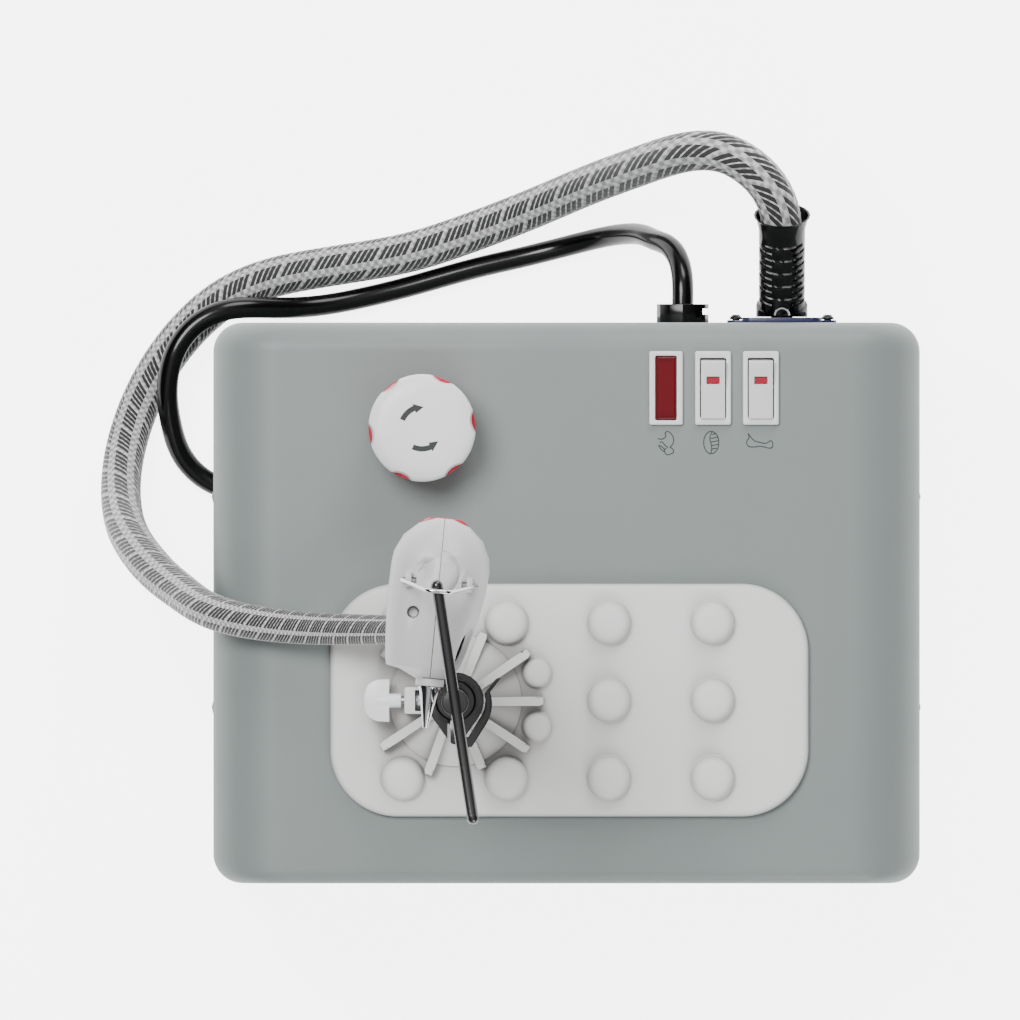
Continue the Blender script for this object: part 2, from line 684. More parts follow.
def housing_form(name, inset, low, finish=None):
    """The housing's outer form, drawn in by the inset: side, rear and plan roundings meet at the corners."""
    half_width = BODY_WIDTH / 2 - inset
    half_depth = BODY_DEPTH / 2 - inset
    top = BODY_TOP - inset
    front_view = filleted([(-half_width, low, 0), (half_width, low, 0),
                           (half_width, top, SIDE_ROUNDING - inset),
                           (-half_width, top, SIDE_ROUNDING - inset)], 2 * CORNER_STEPS)
    side_view = filleted([(-half_depth, low, 0), (half_depth, low, 0),
                          (half_depth, top, REAR_ROUNDING - inset),
                          (-half_depth, top, FRONT_ROUNDING - inset)], CORNER_STEPS)
    plan = rectangle(2 * half_width, 2 * half_depth, PLAN_CORNER - inset)
    form = build(name, prism([(x, -z) for x, z in front_view], -BODY_DEPTH, BODY_DEPTH), finish, ALONG_Y)
    side = build(name + "_side_view", prism(side_view, -BODY_WIDTH, BODY_WIDTH), place=ALONG_X)
    top_view = build(name + "_plan", prism(plan, low - OVERRUN, BODY_TOP + OVERRUN))
    combine(form, side, "INTERSECT")
    combine(form, top_view, "INTERSECT")
    return form


def panel_hole(x, width):
    half_width = width / 2 - PANEL_LIP_OVERLAP
    half_depth = PANEL_FRAME_DEPTH / 2 - PANEL_LIP_OVERLAP
    return block(x - half_width, x + half_width, PANEL_Y - half_depth, PANEL_Y + half_depth,
                 BODY_TOP - SHEET - OVERRUN, BODY_TOP + OVERRUN)


def side_screw_places():
    """Frames whose +Z leaves the side walls at the four screws."""
    return [Matrix.Scale(side, 4, (1, 0, 0)) @ at(0, y, SIDE_SCREW_Z) @ ALONG_X_UP
            for side in (-1, 1) for y in SIDE_SCREW_Y]


def side_screw_holes(face):
    return [moved(rod(SIDE_SCREW_RADIUS + SEAT_GAP, face - SHEET - OVERRUN, face + OVERRUN, TINY), place)
            for place in side_screw_places()]


def rear_hole(x, z, radius):
    return moved(rod(radius, REAR_WALL - SHEET - OVERRUN, REAR_WALL + OVERRUN, SMALL), at(x, 0, z) @ ALONG_Y_UP)


def make_housing():
    cover = housing_form("housing_cover", 0, COVER_BOTTOM, POWDER_COAT)
    combine(cover, housing_form("cover_inside", SHEET, COVER_BOTTOM - OVERRUN))
    holes = [moved(rod(NECK_RADIUS + RUNNING_GAP, BODY_TOP - SHEET - OVERRUN, BODY_TOP + OVERRUN, ROUND),
                   at(BOILER_X, CAP_Y, 0)),
             moved(rod(SOCKET_BOLT_RADIUS + SEAT_GAP, BODY_TOP - SHEET - OVERRUN, BODY_TOP + OVERRUN, SMALL),
                   at(STAND_X, STAND_Y, 0)),
             panel_hole(LAMP_X, LAMP_WIDTH),
             rear_hole(GLAND_X, GLAND_Z, GLAND_THREAD_RADIUS + SEAT_GAP),
             rear_hole(SLEEVE_X, SLEEVE_Z, INLET_RADIUS + INLET_GAP)]
    holes += [panel_hole(x, SWITCH_WIDTH) for x in SWITCH_X]
    holes += [rear_hole(SLEEVE_X + side * FLANGE_SCREW_X, SLEEVE_Z, FLANGE_SCREW_RADIUS + SEAT_GAP)
              for side in (-1, 1)]
    holes += side_screw_holes(BODY_WIDTH / 2)
    combine(cover, build("cover_holes", merged(*holes)))

    inset = SHEET + SEAT_GAP
    width, depth = BODY_WIDTH - 2 * inset, BODY_DEPTH - 2 * inset
    corner = PLAN_CORNER - inset
    tray = build("base_pan", prism(rectangle(width, depth, corner), COVER_BOTTOM, PLATE_TOP), GALVANISED)
    hollow = build("pan_hollow", prism(rectangle(width - 2 * SHEET, depth - 2 * SHEET, corner - SHEET),
                                       COVER_BOTTOM + SHEET, RECESS_HEIGHT))
    half_width, half_depth = width / 2 - LIP_WIDTH, depth / 2 - LIP_WIDTH
    mouth = []
    for sx, sy in ((-1, -1), (1, -1), (1, 1), (-1, 1)):
        ends = [(sx * half_width, sy * (half_depth - LIP_CHAMFER)), (sx * (half_width - LIP_CHAMFER), sy * half_depth)]
        mouth += ends if sx * sy > 0 else ends[::-1]
    opening = build("pan_mouth", prism(mouth, COVER_BOTTOM - OVERRUN, COVER_BOTTOM + SHEET + OVERRUN))
    combine(tray, hollow)
    combine(tray, opening)
    holes = [moved(rod(FOOT_STEM_RADIUS, COVER_BOTTOM - OVERRUN, COVER_BOTTOM + SHEET + OVERRUN, SMALL), at(x, y, 0))
             for x, y in foot_places()]
    combine(tray, build("pan_holes", merged(*holes)))
    combine(tray, side_screws(), "UNION")
    combine(tray, boiler_cradles(), "UNION")


def foot_places():
    x = BODY_WIDTH / 2 - SHEET - FOOT_INSET
    y = BODY_DEPTH / 2 - SHEET - FOOT_INSET
    return [(sx * x, sy * y) for sx in (-1, 1) for sy in (-1, 1)]


def make_feet():
    stem = FOOT_STEM_RADIUS - SEAT_GAP
    head_low = COVER_BOTTOM + SHEET + SEAT_GAP
    profile = [(0, 0), (FOOT_TOE_RADIUS, 0), (FOOT_RADIUS, FOOT_HEIGHT), (stem, FOOT_HEIGHT), (stem, head_low),
               (FOOT_STEM_RADIUS + FOOT_STEM_HEAD, head_low), (stem, head_low + 2 * FOOT_STEM_HEAD),
               (0, head_low + 2 * FOOT_STEM_HEAD)]
    first = build("foot_front_left", lathe(profile, SMALL), BLACK_RUBBER)
    names = ("foot_front_left", "foot_rear_left", "foot_front_right", "foot_rear_right")
    for name, (x, y) in zip(names, foot_places()):
        foot = first if name == first.name else bpy.data.objects.new(name, first.data)
        foot.location = (x, y, 0)
        if foot is not first:
            bpy.context.collection.objects.link(foot)


def side_screws():
    """The four screws that hold the cover, in one piece with the tray's flange that they are driven into."""
    face = BODY_WIDTH / 2 + SEAT_GAP
    top = face + SIDE_SCREW_HEAD_HEIGHT
    profile = [(0, face - SIDE_SCREW_LENGTH), (SIDE_SCREW_RADIUS, face - SIDE_SCREW_LENGTH),
               (SIDE_SCREW_RADIUS, face), (SIDE_SCREW_HEAD_RADIUS, face),
               (SIDE_SCREW_HEAD_RADIUS * sqrt(3) / 2, face + SIDE_SCREW_HEAD_HEIGHT / 2), (0, top)]
    return build("side_screws", merged(*[moved(lathe(profile, TINY), place) for place in side_screw_places()]))


def boiler_cradles():
    """Two saddles, welded to the tray, that carry the boiler."""
    x0, x1 = BOILER_X - CRADLE_WIDTH / 2, BOILER_X + CRADLE_WIDTH / 2
    saddles = build("boiler_cradles", merged(*[
        block(x0, x1, y, y + CRADLE_THICKNESS, PLATE_TOP - SHEET / 2, PLATE_TOP + CRADLE_HEIGHT) for y in CRADLE_Y]))
    bed = rod(BOILER_RADIUS + SEAT_GAP, BOILER_FRONT, BOILER_REAR, ROUND)
    return combine(saddles, build("cradle_bed", bed, place=at(BOILER_X, 0, TANK_Z) @ ALONG_Y_UP))


# Boiler and what is on it

def tank_profile(inset):
    """Barrel with dished ends, along +Z."""
    radius = BOILER_RADIUS - inset
    dish = BOILER_DISH - inset / 2
    front = BOILER_FRONT + BOILER_DISH
    rear = BOILER_REAR - BOILER_DISH
    steps = CORNER_STEPS - 1
    first = [(radius * sin(pi / 2 * k / steps), front - dish * cos(pi / 2 * k / steps)) for k in range(steps + 1)]
    last = [(radius * cos(pi / 2 * k / steps), rear + dish * sin(pi / 2 * k / steps)) for k in range(steps + 1)]
    first[0] = (0, front - dish)
    last[-1] = (0, rear + dish)
    return first + last


def tank_port(angle, y):
    """Frame whose +Z leaves the tank's wall at the angle above +X."""
    return at(BOILER_X, y, TANK_Z) @ Matrix.Rotation(pi / 2 - angle, 4, "Y")


def make_boiler():
    lie = at(BOILER_X, 0, TANK_Z) @ ALONG_Y_UP
    tank = build("boiler_tank", lathe(tank_profile(0), ROUND), STAINLESS, lie)
    bosses = [moved(rod(PORT_BOSS_RADIUS, BOILER_RADIUS - BOILER_WALL - OVERRUN, BOILER_RADIUS + PORT_BOSS_HEIGHT, SMALL),
                    tank_port(angle, y))
              for angle, y in ((PIPE_PORT_ANGLE, PIPE_PORT_Y), (PRESSURE_ANGLE, PRESSURE_Y))]
    combine(tank, build("tank_bosses", merged(*bosses)), "UNION")
    combine(tank, build("tank_inside", lathe(tank_profile(BOILER_WALL), ROUND), place=lie))
    ports = [moved(rod(PORT_RADIUS, BOILER_RADIUS - BOILER_WALL - 2 * OVERRUN,
                       BOILER_RADIUS + PORT_BOSS_HEIGHT + OVERRUN, SMALL), tank_port(angle, y))
             for angle, y in ((PIPE_PORT_ANGLE, PIPE_PORT_Y), (PRESSURE_ANGLE, PRESSURE_Y))]
    ports.append(moved(rod(NECK_BORE, 0, BOILER_RADIUS + OVERRUN, ROUND), at(BOILER_X, CAP_Y, TANK_Z)))
    ports.append(moved(rod(HEATER_HOLE_RADIUS, BOILER_FRONT - OVERRUN, BOILER_FRONT + BOILER_DISH, ROUND), lie))
    combine(tank, build("tank_ports", merged(*ports)))

    neck = build("filler_neck", moved(ring(NECK_BORE + RUNNING_GAP, NECK_RADIUS, TANK_Z, NECK_TOP, ROUND),
                                      at(BOILER_X, CAP_Y, 0)), BRASS)
    combine(neck, build("neck_saddle", rod(BOILER_RADIUS + SEAT_GAP, BOILER_FRONT, BOILER_REAR, ROUND), place=lie))


def make_heater():
    """Flange on the front dish with one hairpin tube inside the tank."""
    dish_at_rim = BOILER_DISH * (1 - sqrt(1 - (HEATER_HOLE_RADIUS / BOILER_RADIUS) ** 2))
    face = BOILER_FRONT + dish_at_rim
    back = face - HEATER_FLANGE_THICKNESS - 2 * dish_at_rim
    plug = HEATER_HOLE_RADIUS - SEAT_GAP
    inner = face + HEATER_FLANGE_THICKNESS
    rim = BOILER_FRONT - SEAT_GAP
    profile = [(0, back), (HEATER_FLANGE_RADIUS, back), (HEATER_FLANGE_RADIUS, rim), (plug, rim), (plug, inner),
               (0, inner)]
    lie = at(BOILER_X, 0, TANK_Z) @ ALONG_Y_UP
    flange = build("heating_element", lathe(profile, ROUND), STAINLESS, lie)
    far = inner + HEATER_TUBE_LENGTH
    bow = arc(0, far, HEATER_TUBE_SPREAD, 0, pi, 2 * CORNER_STEPS)
    path = [(HEATER_TUBE_SPREAD, inner - OVERRUN)] + bow + [(-HEATER_TUBE_SPREAD, inner - OVERRUN)]
    rings = []
    for i, (x, y) in enumerate(path):
        before = path[max(i - 1, 0)]
        after = path[min(i + 1, len(path) - 1)]
        heading = Vector((after[0] - before[0], after[1] - before[1])).normalized()
        side = Vector((heading.y, -heading.x))
        circle = [2 * pi * k / TINY for k in range(TINY)]
        rings.append([(BOILER_X + x + side.x * HEATER_TUBE_RADIUS * cos(a), y + side.y * HEATER_TUBE_RADIUS * cos(a),
                       TANK_Z + HEATER_TUBE_RADIUS * sin(a)) for a in circle])
    combine(flange, build("heater_hairpin", loft(rings)), "UNION")


def make_cap():
    """Threaded plug and seal under a red core, with a scalloped white dome over it."""
    centre = at(BOILER_X, CAP_Y, 0)
    seal_low = NECK_TOP + SEAT_GAP
    seal_high = seal_low + SEAL_HEIGHT
    plug_radius = NECK_BORE
    flange_low = seal_high + SEAT_GAP
    flange_high = flange_low + PLUG_FLANGE_HEIGHT
    plug = lathe([(0, NECK_TOP - PLUG_LENGTH), (plug_radius, NECK_TOP - PLUG_LENGTH), (plug_radius, flange_low),
                  (NECK_RADIUS, flange_low), (NECK_RADIUS, flange_high), (0, flange_high)], ROUND)
    build("cap_plug", plug, BRASS, centre)
    build("cap_seal", ring(plug_radius + SEAT_GAP, NECK_RADIUS, seal_low, seal_high, ROUND), BLACK_RUBBER, centre)

    core_radius = CAP_RADIUS - CAP_CORE_INSET
    crown = CAP_BASE + CAP_HEIGHT
    shoulder = crown - CAP_DOME_SINK - CAP_WALL - SEAT_GAP
    core = lathe([(0, flange_high + SEAT_GAP), (CAP_SOCKET_RADIUS, flange_high + SEAT_GAP),
                  (CAP_SOCKET_RADIUS, CAP_BASE), (core_radius, CAP_BASE), (core_radius, shoulder - CAP_WALL),
                  (core_radius - CAP_WALL, shoulder), (0, shoulder)], FINE)
    build("cap_core", core, RED_PLASTIC, centre)

    steps = CORNER_STEPS + 2
    skirt = shoulder - CAP_WALL + 2 * SEAT_GAP
    outside = [(CAP_RADIUS, skirt)]
    outside += [(CAP_RADIUS * cos(pi / 2 * k / steps) ** (1 / 3), crown - CAP_DOME_SINK
                 + CAP_DOME_SINK * sin(pi / 2 * k / steps)) for k in range(steps)]
    outside.append((0, crown))
    inside_low = shoulder + SEAT_GAP
    dome = lathe([(0, inside_low), (core_radius - CAP_WALL, inside_low), (core_radius, skirt)] + outside, FINE)
    dome = build("cap_dome", dome, WHITE_PLASTIC, centre)
    reach = CAP_RADIUS + CAP_SCALLOP_RADIUS - CAP_SCALLOP_DEPTH
    bites = []
    for k in range(CAP_SCALLOPS):
        angle = CAP_SCALLOP_FIRST + 2 * pi * k / CAP_SCALLOPS
        bites.append(moved(rod(CAP_SCALLOP_RADIUS, CAP_BASE, crown + OVERRUN, SMALL),
                           centre @ at(reach * cos(angle), reach * sin(angle), 0)))
    combine(dome, build("cap_bites", merged(*bites)))
    for name in ("cap_plug", "cap_seal", "cap_core", "cap_dome"):
        pivot_at(bpy.data.objects[name], (BOILER_X, CAP_Y, CAP_BASE))


# Lamp and switches

def panel_frame(name, x, width, finish):
    """Frame with a lip on the panel and a box body below it; the window goes through to the floor."""
    low = BODY_TOP - PANEL_BODY_DROP
    lip = rectangle(width, PANEL_FRAME_DEPTH, PANEL_LIP / 2, x, PANEL_Y, 2)
    shrink = PANEL_LIP / 2
    lip_top = rectangle(width - shrink, PANEL_FRAME_DEPTH - shrink, PANEL_LIP / 2, x, PANEL_Y, 2)
    base = BODY_TOP + SEAT_GAP
    frame = build(name, loft([[(px, py, base) for px, py in lip],
                              [(px, py, base + PANEL_LIP / 2) for px, py in lip],
                              [(px, py, base + PANEL_LIP) for px, py in lip_top]]), finish)
    half_width = width / 2 - PANEL_LIP_OVERLAP - SEAT_GAP
    half_depth = PANEL_FRAME_DEPTH / 2 - PANEL_LIP_OVERLAP - SEAT_GAP
    body = build(name + "_body", block(x - half_width, x + half_width, PANEL_Y - half_depth, PANEL_Y + half_depth,
                                       low, base + PANEL_LIP / 4))
    combine(frame, body, "UNION")
    return frame


def make_lamp():
    frame = panel_frame("lamp_bezel", LAMP_X, LAMP_WIDTH, LIGHT_PLASTIC)
    top = BODY_TOP + SEAT_GAP + PANEL_LIP
    gap = SEAT_GAP
    window = block(LAMP_X - LENS_WIDTH / 2 - gap, LAMP_X + LENS_WIDTH / 2 + gap, PANEL_Y - LENS_DEPTH / 2 - gap,
                   PANEL_Y + LENS_DEPTH / 2 + gap, top - LENS_DROP - gap, top + OVERRUN)
    combine(frame, build("lamp_window", window))
    outline = rectangle(LENS_WIDTH, LENS_DEPTH, PANEL_LIP / 2, LAMP_X, PANEL_Y, 2)
    crown = rectangle(LENS_WIDTH - 2 * LENS_PROUD, LENS_DEPTH - 2 * LENS_PROUD, PANEL_LIP / 4, LAMP_X, PANEL_Y, 2)
    build("lamp_lens", loft([[(x, y, top - LENS_DROP) for x, y in outline], [(x, y, top) for x, y in outline],
                             [(x, y, top + LENS_PROUD) for x, y in crown]]), LAMP_RED)


def rocker_profile(grow=0):
    """Side view of the rocker in (y, z) from its pivot: two facets that meet in a shallow valley."""
    half = ROCKER_DEPTH / 2 + grow
    top = ROCKER_PROUD + ROCKER_PIVOT_DROP
    valley = top - half * tan(ROCKER_SWING / 2)
    low = -ROCKER_DROP + ROCKER_PIVOT_DROP
    bow = arc(0, 0, half * 0.0 + hypot(half, low), atan2(low, half), atan2(low, -half), 4)
    return [(half, top), (0, valley), (-half, top)] + [(y, max(z, 3 * low)) for y, z in bow[::-1]]


def make_switch(number, x):
    prefix = f"switch_{number}_"
    frame = panel_frame(prefix + "frame", x, SWITCH_WIDTH, LIGHT_PLASTIC)
    pivot = (x, PANEL_Y, BODY_TOP + SEAT_GAP + PANEL_LIP - ROCKER_PIVOT_DROP)
    rest = Matrix.Rotation(ROCKER_SWING / 2, 4, "X")
    half = ROCKER_WIDTH / 2
    place = Matrix.Translation(pivot)

    room = hypot(ROCKER_DEPTH / 2, ROCKER_PROUD + ROCKER_PIVOT_DROP) + RUNNING_GAP
    well = build(prefix + "well", merged(
        moved(rod(room, -half - RUNNING_GAP, half + RUNNING_GAP, FINE), place @ ALONG_X_UP),
        ))
    combine(frame, well)
    sockets = rod(ROCKER_TRUNNION_RADIUS + RUNNING_GAP, -half - ROCKER_TRUNNION_REACH - RUNNING_GAP,
                  half + ROCKER_TRUNNION_REACH + RUNNING_GAP, TINY)
    combine(frame, build(prefix + "sockets", sockets, place=place @ ALONG_X_UP))

    rocker = build(prefix + "rocker", prism(rocker_profile(), -half, half), LIGHT_PLASTIC, place @ rest @ ALONG_X)
    pins = rod(ROCKER_TRUNNION_RADIUS, -half - ROCKER_TRUNNION_REACH, half + ROCKER_TRUNNION_REACH, TINY)
    combine(rocker, build(prefix + "trunnions", pins, place=place @ ALONG_X_UP), "UNION")

    facet = ROCKER_PROUD + ROCKER_PIVOT_DROP
    slope = rest @ Matrix.Rotation(ROCKER_SWING / 2, 4, "X")
    rise = facet - ROCKER_DEPTH / 2 * tan(ROCKER_SWING / 2) + WINDOW_SHIFT * tan(ROCKER_SWING / 2)
    seat = rest @ at(0, WINDOW_SHIFT, rise) @ Matrix.Rotation(ROCKER_SWING / 2, 4, "X")
    w, d = WINDOW_WIDTH / 2, WINDOW_DEPTH / 2
    pocket = block(-w - SEAT_GAP, w + SEAT_GAP, -d - SEAT_GAP, d + SEAT_GAP, -WINDOW_THICKNESS - SEAT_GAP, OVERRUN)
    combine(rocker, build(prefix + "pocket", pocket, place=place @ seat))
    build(prefix + "window", block(-w, w, -d, d, -WINDOW_THICKNESS, 0), RED_PLASTIC, place @ seat)
    for name in ("rocker", "window"):
        pivot_at(bpy.data.objects[prefix + name], pivot)


# Rest mat and stand socket

def dome(radius, height, x, y, base, segments):
    ball = (radius ** 2 + height ** 2) / (2 * height)
    sweep = atan2(radius, ball - height)
    steps = CORNER_STEPS - 1
    arc_points = [(ball * sin(sweep * (1 - k / steps)), base + height - ball + ball * cos(sweep * (1 - k / steps)))
                  for k in range(steps)]
    profile = [(0, base - DOME_EMBED), (radius, base - DOME_EMBED)] + arc_points + [(0, base + height)]
    return moved(lathe(profile, segments), at(x, y, 0))


def make_mat():
    rings = []
    for inset, z in ((MAT_EDGE / 2, MAT_BASE), (0, MAT_BASE + MAT_EDGE / 2), (0, MAT_TOP - MAT_EDGE),
                     (MAT_EDGE / 3, MAT_TOP - MAT_EDGE / 3), (MAT_EDGE, MAT_TOP)):
        outline = rectangle(MAT_WIDTH - 2 * inset, MAT_DEPTH - 2 * inset, MAT_CORNER - inset, MAT_X, MAT_Y, CORNER_STEPS + 2)
        rings.append([(x, y, z) for x, y in outline])
    mat = build("rest_mat", loft(rings), SILICONE)
    places = [(x, y) for x in DOME_COLUMNS for y in DOME_ROWS
              if hypot(x - STAND_X, y - STAND_Y) > RIB_REACH - DOME_RADIUS / 2 and
              not (x == DOME_COLUMNS[0] and y == DOME_ROWS[1])]
    domes = [dome(DOME_RADIUS, DOME_HEIGHT, x, y, MAT_TOP, DOME_SIDES) for x, y in places]
    domes += [dome(SMALL_DOME_RADIUS, SMALL_DOME_HEIGHT, x, y, MAT_TOP, TINY) for x, y in SMALL_DOMES]
    combine(mat, build("mat_domes", merged(*domes)), "UNION")
    hole = rod(SOCKET_BOLT_RADIUS + SEAT_GAP, MAT_BASE - OVERRUN, MAT_TOP + OVERRUN, SMALL)
    combine(mat, build("mat_hole", hole, place=at(STAND_X, STAND_Y, 0)))


def rib_outline(reach):
    """Side view of one rib in (reach, height), with a hollow upper edge."""
    points = [(RIB_ROOT, 0), (reach, 0), (reach, RIB_TIP_HEIGHT)]
    for k in range(1, RIB_STEPS + 1):
        share = k / RIB_STEPS
        points.append((reach + (RIB_ROOT - reach) * share,
                       RIB_TIP_HEIGHT + (RIB_ROOT_HEIGHT - RIB_TIP_HEIGHT) * share ** 2))
    return points


def make_socket():
    centre = at(STAND_X, STAND_Y, SOCKET_BASE)
    steps = CORNER_STEPS
    flank = []
    for k in range(steps + 1):
        share = k / steps
        flank.append((SOCKET_TOP_RADIUS + (SOCKET_FOOT_RADIUS - SOCKET_TOP_RADIUS) * (1 - share) ** 2,
                      share * SOCKET_HEIGHT * 2 / 3))
    profile = [(0, 0)] + flank + [(SOCKET_TOP_RADIUS, SOCKET_HEIGHT), (0, SOCKET_HEIGHT)]
    socket = build("stand_socket", lathe(profile, FINE), SILICONE, centre)
    upright = Matrix(((1, 0, 0, 0), (0, 0, -1, 0), (0, 1, 0, 0), (0, 0, 0, 1)))
    ribs = [moved(prism(rib_outline(RIB_REACH * share), -RIB_WIDTH / 2, RIB_WIDTH / 2),
                  centre @ Matrix.Rotation(radians(angle), 4, "Z") @ upright)
            for angle, share in RIB_ANGLES_AND_REACH_SHARES]
    combine(socket, build("socket_ribs", merged(*ribs)), "UNION")
    half = CLAMP_BOX_WIDTH / 2
    box = block(STAND_X - CLAMP_BOX_REACH, STAND_X - RIB_ROOT, STAND_Y - half, STAND_Y + half,
                CLAMP_Z - CLAMP_BOX_DROP, CLAMP_Z + CLAMP_BOX_RISE)
    combine(socket, build("clamp_box", box), "UNION")
    bore = moved(rod(POLE_RADIUS + SEAT_GAP, SOCKET_FLOOR, SOCKET_HEIGHT + OVERRUN, ROUND), centre)
    bolt_hole = moved(rod(SOCKET_BOLT_RADIUS - SEAT_GAP, -OVERRUN, SOCKET_BOLT_GRIP, SMALL), centre)
    stud_hole = moved(rod(STUD_RADIUS + SEAT_GAP, -CLAMP_BOX_REACH - OVERRUN, -POLE_RADIUS / 2, TINY),
                      at(STAND_X, STAND_Y, CLAMP_Z) @ ALONG_X_UP)
    reach = STAND_X - NUT_REACH
    side = NUT_FLATS / 2 + SEAT_GAP
    slot = block(reach - NUT_THICKNESS / 2 - SEAT_GAP, reach + NUT_THICKNESS / 2 + SEAT_GAP, STAND_Y - side,
                 STAND_Y + side, CLAMP_Z - side / cos(pi / 6), CLAMP_Z + CLAMP_BOX_RISE + OVERRUN)
    for name, cutter in (("socket_bore", bore), ("socket_bolt_hole", bolt_hole), ("stud_hole", stud_hole),
                         ("nut_slot", slot)):
        combine(socket, build(name, cutter))

    head_high = BODY_TOP - SHEET - SEAT_GAP
    head_low = head_high - SOCKET_BOLT_HEAD_HEIGHT
    shank = SOCKET_BOLT_RADIUS - 2 * SEAT_GAP
    tip = SOCKET_BASE + SOCKET_BOLT_GRIP - SEAT_GAP
    build("socket_bolt", lathe([(0, head_low), (SOCKET_BOLT_HEAD_RADIUS, head_low), (SOCKET_BOLT_HEAD_RADIUS, head_high),
                                (shank, head_high), (shank, tip), (0, tip)], SMALL), STAINLESS, at(STAND_X, STAND_Y, 0))


def make_clamp():
    """Captive hexagon nut, the stud that presses the pole, and the winged handle on the stud."""
    axis = at(STAND_X, STAND_Y, CLAMP_Z)
    corner = NUT_FLATS / 2 / cos(pi / 6)
    hexagon = [(corner * sin(pi / 3 * k), corner * cos(pi / 3 * k)) for k in range(6)]
    nut = build("captive_nut", prism(hexagon, -NUT_REACH - NUT_THICKNESS / 2, -NUT_REACH + NUT_THICKNESS / 2),
                STAINLESS, axis @ ALONG_X)
    combine(nut, build("nut_bore", rod(STUD_RADIUS + SEAT_GAP, -NUT_REACH - NUT_THICKNESS, -NUT_REACH + NUT_THICKNESS,
                                       TINY), place=axis @ ALONG_X_UP))
    build("clamp_stud", rod(STUD_RADIUS, -STUD_OUT, -POLE_RADIUS - SEAT_GAP, TINY), STAINLESS, axis @ ALONG_X_UP)

    outline = [(-WING_START, -WING_SPAN / 2), (-WING_START, WING_SPAN / 2)]
    bulge = WING_END - WING_START
    steps = 3 * CORNER_STEPS
    for k in range(1, steps):
        angle = pi * k / steps
        reach = sin(angle) ** 0.6
        span = cos(angle)
        outline.append((-WING_START - bulge * reach, WING_SPAN / 2 * (abs(span) ** 0.8) * (1 if span > 0 else -1)))
    wing = build("clamp_wing", prism(outline, -WING_THICKNESS / 2, WING_THICKNESS / 2), PALE_PLASTIC, axis)
    stem = rod(STEM_RADIUS, -WING_START - bulge / 2, -STEM_START, SMALL)
    combine(wing, build("wing_stem", stem, place=axis @ ALONG_X_UP), "UNION")
    combine(wing, build("wing_bore", rod(STUD_RADIUS + STEM_BORE_GAP, -STUD_OUT - STEM_BORE_GAP, -STEM_START + OVERRUN,
                                         TINY), place=axis @ ALONG_X_UP))
    for name in ("clamp_stud", "clamp_wing"):
        pivot_at(bpy.data.objects[name], (STAND_X - STEM_START, STAND_Y, CLAMP_Z))


# Pole, flip lock and cross bar

def collar_tangent():
    """Angle below +X of the straight flanks between the collar's ring and its tip."""
    return asin_share((COLLAR_RADIUS - COLLAR_TIP_RADIUS) / (COLLAR_TIP - COLLAR_TIP_RADIUS))


def lever_outline():
    """Plan of the lever about the pole's axis: a heel in the collar's fork, a band round the ring, a flared tip."""
    tangent = collar_tangent()
    flank = Vector((cos(tangent), -sin(tangent)))
    along = Vector((sin(tangent), cos(tangent)))
    pivot = Vector(LEVER_PIVOT)
    near = COLLAR_RADIUS + LEVER_GAP
    gap = COLLAR_TIP_RADIUS + LEVER_GAP
    inner = [pivot + along * LEVER_HEEL_FRONT, pivot + along * LEVER_HEEL_FRONT + flank * gap]
    outer = [pivot - along * LEVER_HEEL_BACK, pivot - along * LEVER_HEEL_BACK + flank * (gap + LEVER_ROOT_WIDTH / 2),
             pivot + flank * (gap + LEVER_ROOT_WIDTH)]
    for k in range(LEVER_STEPS + 1):
        share = k / LEVER_STEPS
        angle = -tangent + (LEVER_END + tangent) * share
        width = LEVER_ROOT_WIDTH + (LEVER_TIP_WIDTH - LEVER_ROOT_WIDTH) * share
        heading = Vector((cos(angle), sin(angle)))
        inner.append(heading * near)
        outer.append(heading * (near + width))
    flare = Vector((LEVER_FLARE * cos(LEVER_FLARE_ANGLE), LEVER_FLARE * sin(LEVER_FLARE_ANGLE)))
    inner.append(inner[-1] + flare)
    outer.append(outer[-1] + flare)
    return [tuple(point) for point in outer + inner[::-1]]


